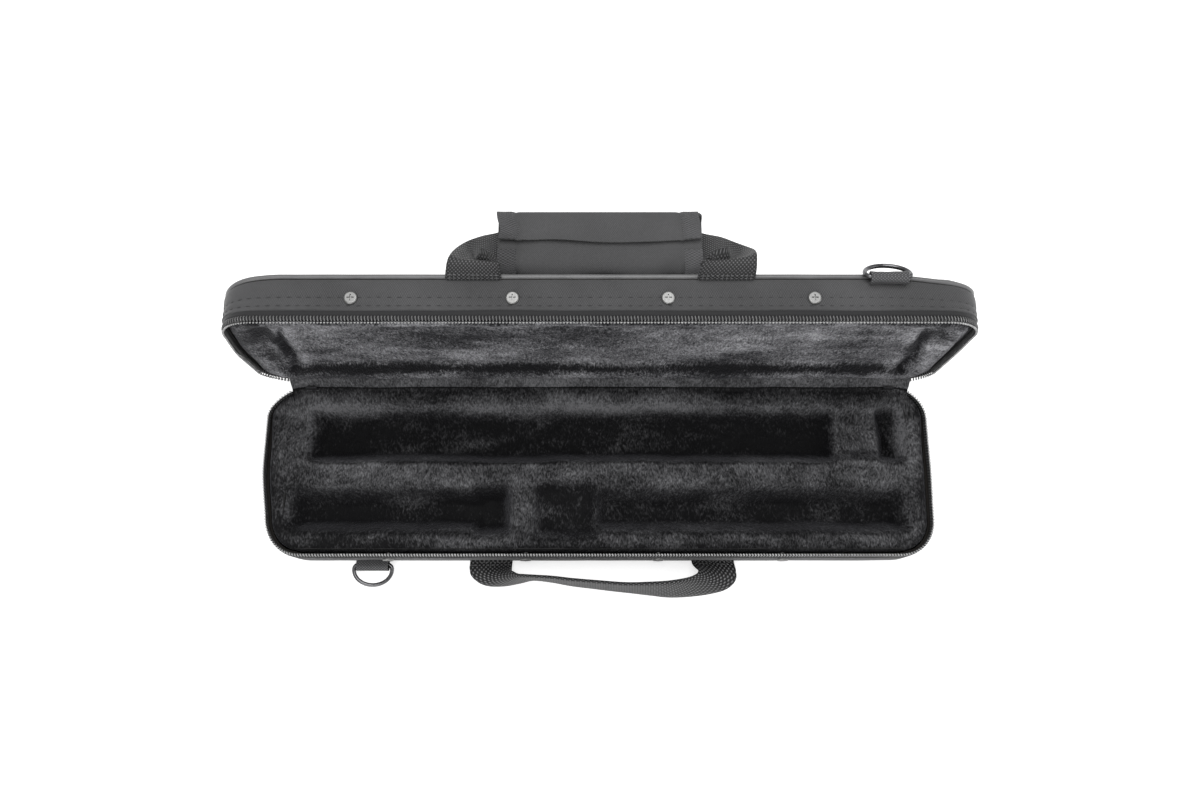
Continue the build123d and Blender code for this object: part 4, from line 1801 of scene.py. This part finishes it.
def lid_strap() -> Strap:
    """The lid's strap: each end curls out of the seam and twists over into the padded wrap.

    Returns:
        The strap.
    """
    wrap = Wrap()
    left = [((-81.0, -53.3, 51.9), (-51.5, -53.3, 51.9), 0.0),
            ((-80.6, -56.4, 52.9), (-51.5, -56.4, 52.6), 0.0),
            ((-79.8, -60.0, 55.0), (-51.7, -60.4, 54.0), 0.5),
            ((-78.9, -62.8, 57.4), (-52.0, -63.9, 55.3), 1.6),
            ((-77.9, -62.6, 60.8), (-52.6, -66.6, 56.8), 5.0),
            ((-76.7, -56.5, 67.0), (-55.2, -68.3, 59.2), 8.0),
            ((-74.3, -49.2, 73.6), (-59.6, -67.0, 62.6), 8.4),
            ((-70.4, -43.2, 79.2), (-62.2, -62.6, 64.4), 6.0),
            ((-64.8, -39.4, 83.2), (-60.4, -56.0, 64.0), 2.4),
            ((-57.8, -39.6, 84.8), (-54.8, -50.0, 62.2), 0.8)]
    high, low = wrap.strap_z + 13.1, wrap.strap_z - 13.1
    inside = [((x, wrap.y, high), (x, wrap.y, low), 0.0)
              for x in (-47.0, -36.0, -24.0, -8.0, 8.0, 24.0, 36.0, 47.0)]
    right = [((57.8, -39.2, 84.8), (55.2, -50.0, 62.2), 0.8),
             ((66.4, -39.2, 82.8), (62.2, -55.8, 63.6), 2.4),
             ((73.6, -42.4, 78.2), (66.4, -62.6, 64.6), 6.0),
             ((78.6, -49.2, 72.6), (64.6, -66.8, 63.6), 8.4),
             ((80.9, -57.2, 67.0), (58.8, -68.3, 61.0), 8.0),
             ((81.0, -63.2, 61.8), (54.8, -67.5, 58.0), 5.0),
             ((80.8, -64.0, 57.4), (52.8, -64.6, 55.6), 1.6),
             ((81.0, -60.4, 54.2), (51.6, -60.6, 53.6), 0.5),
             ((81.1, -56.4, 52.4), (51.0, -56.4, 52.3), 0.0),
             ((81.2, -53.3, 51.9), (50.9, -53.3, 51.9), 0.0)]
    return Strap("lid_webbing_strap", "lid_handle", "lid_handle_strap", left + inside + right,
                 CASE.opened(), LOOP_STRAP, steps=300)


# ---------------------------------------------------------------- padded wrap
@dataclass
class Wrap:
    """The padded sleeve round the lid's strap and its closing flap, built beside the closed lid."""

    y: float = -42.1
    z: float = 76.4
    strap_z: float = 73.6
    length: float = 109.0
    width: float = 34.0
    height: float = 12.4
    shoulder: float = 13.4
    band: float = 9.8
    sleeve_columns: int = 96
    sleeve_rows: int = 72
    mouth_columns: int = 4
    mouth: tuple[float, float] = (13.8, 2.3)
    flap_size: float = 22.0
    flap_thickness: float = 1.7
    tape_size: float = 60.0
    tape_thickness: float = 0.6

    def point(self, x: float, up: float, out: float) -> Vector:
        """A point of the wrap: x along it, up across it towards its back edge, out to the front."""
        return Vector((x, self.y - out, self.z + up))

    def outline(self, t: float) -> Vector:
        """The sleeve's outline.

        Args:
            t: share of the way round it.

        Returns:
            Up and out, from the sleeve's middle.
        """
        half, thick = self.width / 2, self.height / 2
        low = half + 2.6
        marks = [(0.0, thick), (-6.0, thick), (-low + 5.5, thick - 0.5), (-low + 0.9, thick * 0.55),
                 (-low, 0.0), (-low + 0.9, -thick * 0.55), (-low + 5.5, -thick + 0.4), (-5.0, -thick),
                 (5.0, -thick), (half - 6.5, -thick + 0.4), (half - 1.9, -thick * 0.55), (half - 1.0, 0.5),
                 (half - 0.9, 6.0), (half - 2.2, 9.2), (self.shoulder - 0.2, 9.3), (12.0, 6.7),
                 (8.0, thick), (0.0, thick)]
        return curve_through([Vector(mark) for mark in marks], t)

    def section(self, x: float, t: float) -> Vector:
        """The padded sleeve's skin, drawn in at its bindings and dented where it is held.

        Args:
            x: place along it.
            t: share of the way round it.

        Returns:
            Up and out, from the sleeve's middle.
        """
        up, out = self.outline(t)
        edge = self.length / 2 - abs(x)
        drawn = 0.75 * bump(edge, self.band, 1.3)
        dent = 3.4 * bump(x, 4.0, 13.0) * smooth_step(-up, 3.0, 15.0) * (1 if out > -2 else 0.3)
        dent += 2.2 * bump(edge, self.band + 6.0, 6.0) * smooth_step(-up, 7.0, 17.0)
        wave = 0.8 * drift(Vector((x, up * 1.3, out * 1.3)), 15, 2.0) * smooth_step(edge, 0, 8)
        scale = 1 - (drawn + 0.3 * (1 - smooth_step(edge, 0, 1.5))) / 8.0
        point = Vector((up, out)) * scale
        way = point.normalized() if point.length else Vector((0, 1))
        return point + way * (wave - dent * 0.55)

    def mouth_point(self, side: Side, step: int, t: float) -> Vector:
        """The skin where it turns in at a mouth, to close round the strap.

        Args:
            side: the end of the sleeve.
            step: how many columns it is past the rim.
            t: share of the way round it.

        Returns:
            The point.
        """
        end = side.value * self.length / 2
        share, inward = ((0.0, 0.0), (0.06, -0.25), (0.5, 0.0), (1.0, 0.6), (1.0, 4.0))[step]
        mixed = self.section(end, t).lerp(self.bore(t), share)
        return self.point(end - side.value * inward, mixed.x, mixed.y)

    def build_sleeve(self) -> None:
        """The padded sleeve, with its two mouths closed round the strap."""
        work = Work("wrap_padded_sleeve")
        first, last = self.mouth_columns, self.mouth_columns + self.sleeve_columns
        columns, rows = last + self.mouth_columns, self.sleeve_rows

        def place(u: float, v: float) -> Vector:
            """Where the skin goes.

            Args:
                u: number of a column, from the left mouth to the right one.
                v: number of a row, once round.

            Returns:
                The point.
            """
            t, step = v / rows, round(u)
            if step < first:
                return self.mouth_point(Side.LEFT, first - step, t)
            if step > last:
                return self.mouth_point(Side.RIGHT, step - last, t)
            x = -self.length / 2 + self.length * (step - first) / self.sleeve_columns
            return self.point(x, *self.section(x, t))

        lay(work.bm, columns, rows, (float(columns), float(rows)), place)
        close_ends(work.bm)
        self.stretch_map(work)
        piece = work.finish("lid_handle", "wrap_cloth", WRAP, ("handle_wrap",), CASE.opened(), 55)

    def bore(self, t: float) -> Vector:
        """The mouth round the strap, matched to the outline.

        Args:
            t: share of the way round it.

        Returns:
            Up and out, from the sleeve's middle.
        """
        up, out = self.outline(t)
        way = Vector((up / 2.4, out)).normalized()
        return Vector((way.x * self.mouth[0] + self.strap_z - self.z, way.y * self.mouth[1]))

    def stretch_map(self, work: Work) -> None:
        """Rewrites the cloth map from places, so that the threads run true.

        Args:
            work: the sleeve, whose threads go along X and round the section.
        """
        layer = work.bm.loops.layers.uv[CLOTH_MAP]
        for face in work.bm.faces:
            for loop in face.loops:
                co = loop.vert.co
                loop[layer].uv = (co.x, co.z if abs(face.normal.y) > 0.5 else co.y)

    def flap_line(self, share: float) -> Vector:
        """The flap's outer face in section.

        Args:
            share: from 0 under the back edge to 1 at the free edge.

        Returns:
            Up and out, from the sleeve's middle.
        """
        marks = [(16.2, 5.2), (16.0, 7.8), (14.7, 9.65), (12.4, 10.15), (9.2, 10.35), (5.4, 10.3),
                 (1.8, 9.95), (-1.0, 9.3)]
        return curve_through([Vector(mark) for mark in marks], share)

    def flap_end(self, side: Side, share: float) -> float:
        """Where the flap ends at a side: neither end is cut true.

        Args:
            side: the side.
            share: share of the way to the free edge.

        Returns:
            The place along the wrap.
        """
        if side is Side.LEFT:
            return -54.2 - 0.9 * bump(share, 0.25, 0.3) + 1.5 * bump(share, 0.78, 0.16)
        return 52.3 + 1.6 * smooth_step(share, 0.25, 1.0)

    def flap_point(self, x: float, share: float, raised: float) -> Vector:
        """A point of the flap's outer face.

        Args:
            x: place along the wrap.
            share: share of the way to the free edge.
            raised: how far the point stands off the cloth.

        Returns:
            The point.
        """
        up, out = self.flap_line(share)
        free = smooth_step(share, 0.25, 0.9)
        sag = 0.6 * drift(Vector((x, share * 22, 0)), 19, 4.0) * free
        edge = free * (1.3 * drift(Vector((x, 0, 4)), 26, 9.0) - 1.5 * bump(x, 6.0, 26.0) + 0.5)
        return self.point(x, up + edge, out + sag + raised)

    def build_flap(self) -> None:
        """The closing flap: one cloth from the sleeve's back edge to its free, turned-in edge."""
        work = Work("wrap_closing_flap")
        left, right = (self.flap_end(side, 0.0) for side in Side)

        def place(u: float, v: float) -> Vector:
            """Where the cloth goes.

            Args:
                u: distance from its left end.
                v: distance from the back edge.

            Returns:
                The point on its outer face.
            """
            share = v / self.flap_size
            start, end = (self.flap_end(side, share) for side in Side)
            x = start + (end - start) * u / (right - left)
            return self.flap_point(x, share, -0.7 * bump(min(x - start, end - x), self.band, 1.0))

        lay(work.bm, 110, 30, (right - left, self.flap_size), place)
        turn_out(work.bm, lambda middle: middle.y, Vector((0, -1, 0)))
        thicken(work.bm, self.flap_thickness)
        piece = work.finish("lid_handle", "wrap_cloth", WRAP, ("wrap_flap",), CASE.opened(), 55)
        piece.parent = None
        self.bend(piece)

    def bend(self, piece: bpy.types.Object) -> None:
        """Writes the place of a piece of the flap into its mesh; the two points of the sleeve's shoulder are
        worked out but not used.

        Args:
            piece: the piece.
        """
        start = CASE.opened() @ self.point(0, 14.2, 9.8)
        end = CASE.opened() @ self.point(0, 10.6, 9.8)
        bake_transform(piece)

    def sleeve_tape(self, side: Side, u: float, v: float) -> Vector:
        """A point of the tape round the sleeve's end.

        Args:
            side: the end.
            u: distance in from the end.
            v: distance along the tape, round the sleeve.

        Returns:
            The point.
        """
        low, high = 0.05, 0.62
        x = side.value * (self.length / 2 + 0.35) - side.value * u
        line = self.outline(low + (high - low) * v / self.tape_size)
        bulge = 0.7 - 0.9 * bump(u, self.band, 1.0) + 0.3 * drift(Vector((x, v * 1.4, 0)), 5, 6.0)
        line = line * 0.985 + line.normalized() * bulge
        x += 0.8 * drift(Vector((v, 0, side.value * 5)), 7, 3.0)
        return self.point(x, *line)

    def flap_tape(self, side: Side, u: float, v: float) -> Vector:
        """A point of the tape over the flap's end.

        Args:
            side: the end.
            u: distance in from the end.
            v: distance along the tape, towards the flap's free edge.

        Returns:
            The point.
        """
        share = 0.14 + v / self.flap_size * 0.87
        x = self.flap_end(side, share) - side.value * (u - 0.35)
        bulge = 0.6 - 1.1 * bump(u, self.band, 0.9) + 0.25 * drift(Vector((x, v, 3)), 4, 1.0)
        return self.flap_point(x, share, bulge)

    def build_bindings(self) -> None:
        """Ribbed tapes round the sleeve's two ends, and their copies on the flap."""
        sleeve, flap = Work("wrap_end_tapes"), Work("flap_end_tapes")
        for side in Side:
            lay(sleeve.bm, 12, 60, (self.band, self.tape_size), partial(self.sleeve_tape, side))
            lay(flap.bm, 12, 26, (self.band, self.flap_size), partial(self.flap_tape, side))
        for work in (sleeve, flap):
            bmesh.ops.recalc_face_normals(work.bm, faces=work.bm.faces)
            thicken(work.bm, self.tape_thickness)
        sleeve.finish("lid_handle", "binding_tape", BINDING, ("wrap_end_bindings",), CASE.opened(), 55)
        piece = flap.finish("lid_handle", "binding_tape", BINDING, ("flap_end_bindings",), CASE.opened(), 55)
        piece.parent = None
        self.bend(piece)

    def build(self) -> None:
        """Builds the wrap."""
        self.build_sleeve()
        self.build_flap()
        self.build_bindings()


def finish_kept_nodes() -> None:
    """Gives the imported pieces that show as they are, or lie hidden, their finishes."""
    kept = {
        "base_foam_insert": FOAM, "lid_foam_pad": FOAM,
        "base_screws": SCREW, "lid_screws": SCREW, "base_d_ring": RING, "lid_d_ring": RING,
        "wrap_loop_strip": FASTENER, "wrap_hook_strip": FASTENER,
        "left_zip_slider": SLIDER, "left_zip_pull": SLIDER,
        "right_zip_slider": SLIDER, "right_zip_pull": SLIDER,
    }
    for name, finish in kept.items():
        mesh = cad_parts[name].data
        mesh.materials.clear()
        mesh.materials.append(Work.material(finish))
        LOG.info("%s: kept as packed", name)


# ---------------------------------------------------------------- studio
def facing(at: Sequence[float], aim: Sequence[float]) -> Euler:
    """The turn of a lamp or camera at one place that looks at another."""
    return (Vector(aim) - Vector(at)).to_track_quat("-Z", "Y").to_euler()


@dataclass(frozen=True)
class Softbox:
    """A square lamp: its place and side in metres, and its power in watts."""

    name: str
    at: tuple[float, float, float]
    size: float
    power: float


@dataclass(frozen=True)
class Studio:
    """Pale floor, soft lamps and the camera, in metres."""

    camera_at: tuple[float, float, float] = (0.0, -0.1064, 0.581)
    aim: tuple[float, float, float] = (0.0, 0.04325, 0.0275)
    lens: float = 27.53
    sensor: float = 36.0
    near: float = 0.01
    floor_height: float = -0.0004
    floor_radius: float = 6.0
    floor_glow: float = 0.62
    surround: float = 0.52
    lamp_aim: tuple[float, float, float] = (0.0, 0.03, 0.05)
    lamps: tuple[Softbox, ...] = (Softbox("overhead_softbox", (0.0, 0.3, 1.5), 1.1, 16.0),
                                  Softbox("front_softbox", (-0.5, -1.2, 0.9), 0.9, 7.0),
                                  Softbox("right_fill", (1.3, -0.2, 0.7), 0.8, 3.0))

    def shown_white(self, name: str, colour: Colour, strength: float) -> bpy.types.Material:
        """A matt floor that shows plain white to the eye and in mirrors, and keeps a soft shadow.

        Args:
            name: the material's name.
            colour: the floor's own colour.
            strength: how brightly it glows to the camera.

        Returns:
            The material.
        """
        graph = Graph(name)
        graph.set(Base_Color=(*colour, 1), Roughness=0.9)
        rays = graph.add("ShaderNodeLightPath")
        seen = graph.math("MAXIMUM", rays.outputs["Is Camera Ray"], rays.outputs["Is Glossy Ray"])
        seen = graph.math("MAXIMUM", seen, rays.outputs["Is Transmission Ray"])
        graph.set(Emission_Color=(1, 1, 1, 1), Emission_Strength=graph.math("MULTIPLY", seen, strength))
        return graph.material

    def build_floor(self) -> None:
        """A wide round floor."""
        bm = bmesh.new()
        bmesh.ops.create_circle(bm, cap_ends=True, segments=64, radius=self.floor_radius)
        mesh = bpy.data.meshes.new("studio_floor")
        bmesh.ops.translate(bm, verts=bm.verts, vec=(0, 0, self.floor_height))
        bm.to_mesh(mesh)
        bm.free()
        floor = bpy.data.objects.new("studio_floor", mesh)
        bpy.context.scene.collection.objects.link(floor)
        mesh.materials.append(self.shown_white("studio_white", (0.8, 0.8, 0.8), self.floor_glow))

    def build_lamp(self, box: Softbox) -> None:
        """Adds a lamp that faces the case.

        Args:
            box: the lamp's size, power and place.
        """
        light = bpy.data.lights.new(box.name, "AREA")
        light.size, light.energy = box.size, box.power
        holder = bpy.data.objects.new(box.name, light)
        holder.location = box.at
        holder.rotation_euler = facing(box.at, self.lamp_aim)
        bpy.context.scene.collection.objects.link(holder)

    def build_world(self) -> None:
        """The surround: white to the camera, and dimmer as a light."""
        world = bpy.data.worlds.new("studio_world")
        world.use_nodes = True
        tree = world.node_tree
        rays = tree.nodes.new("ShaderNodeLightPath")
        pick = tree.nodes.new("ShaderNodeMapRange")
        pick.inputs["To Min"].default_value = self.surround
        pick.inputs["To Max"].default_value = 1.0
        tree.links.new(rays.outputs["Is Camera Ray"], pick.inputs["Value"])
        tree.links.new(pick.outputs[0], tree.nodes["Background"].inputs["Strength"])
        tree.nodes["Background"].inputs["Color"].default_value = (1, 1, 1, 1)
        bpy.context.scene.world = world

    def build_camera(self) -> None:
        """The camera, in front of the case and above it."""
        lens = bpy.data.cameras.new("case_camera")
        lens.lens, lens.sensor_width, lens.sensor_fit = self.lens, self.sensor, "HORIZONTAL"
        lens.clip_start = self.near
        camera = bpy.data.objects.new("case_camera", lens)
        camera.location = self.camera_at
        camera.rotation_euler = facing(self.camera_at, self.aim)
        bpy.context.scene.collection.objects.link(camera)
        bpy.context.scene.camera = camera

    def build(self) -> None:
        """Sets the world, the floor, the lamps and the camera."""
        bpy.context.scene.view_settings.view_transform = "Standard"
        self.build_world()
        self.build_floor()
        for box in self.lamps:
            self.build_lamp(box)
        self.build_camera()


def main() -> None:
    """Builds the case from the tray outwards, then the studio."""
    logging.basicConfig(level=logging.INFO, format="%(message)s")
    Studio().build()
    for half in Half:
        Cover(half).build()
        ZipHalf(half).build()
        Lining(half).build()
    FabricHinge().build()
    RingTab(Half.BASE, -141.0).build()
    RingTab(Half.LID, 150.0).build()
    base_strap().build()
    lid_strap().build()
    Wrap().build()
    finish_kept_nodes()


if __name__ == "__main__":
    main()
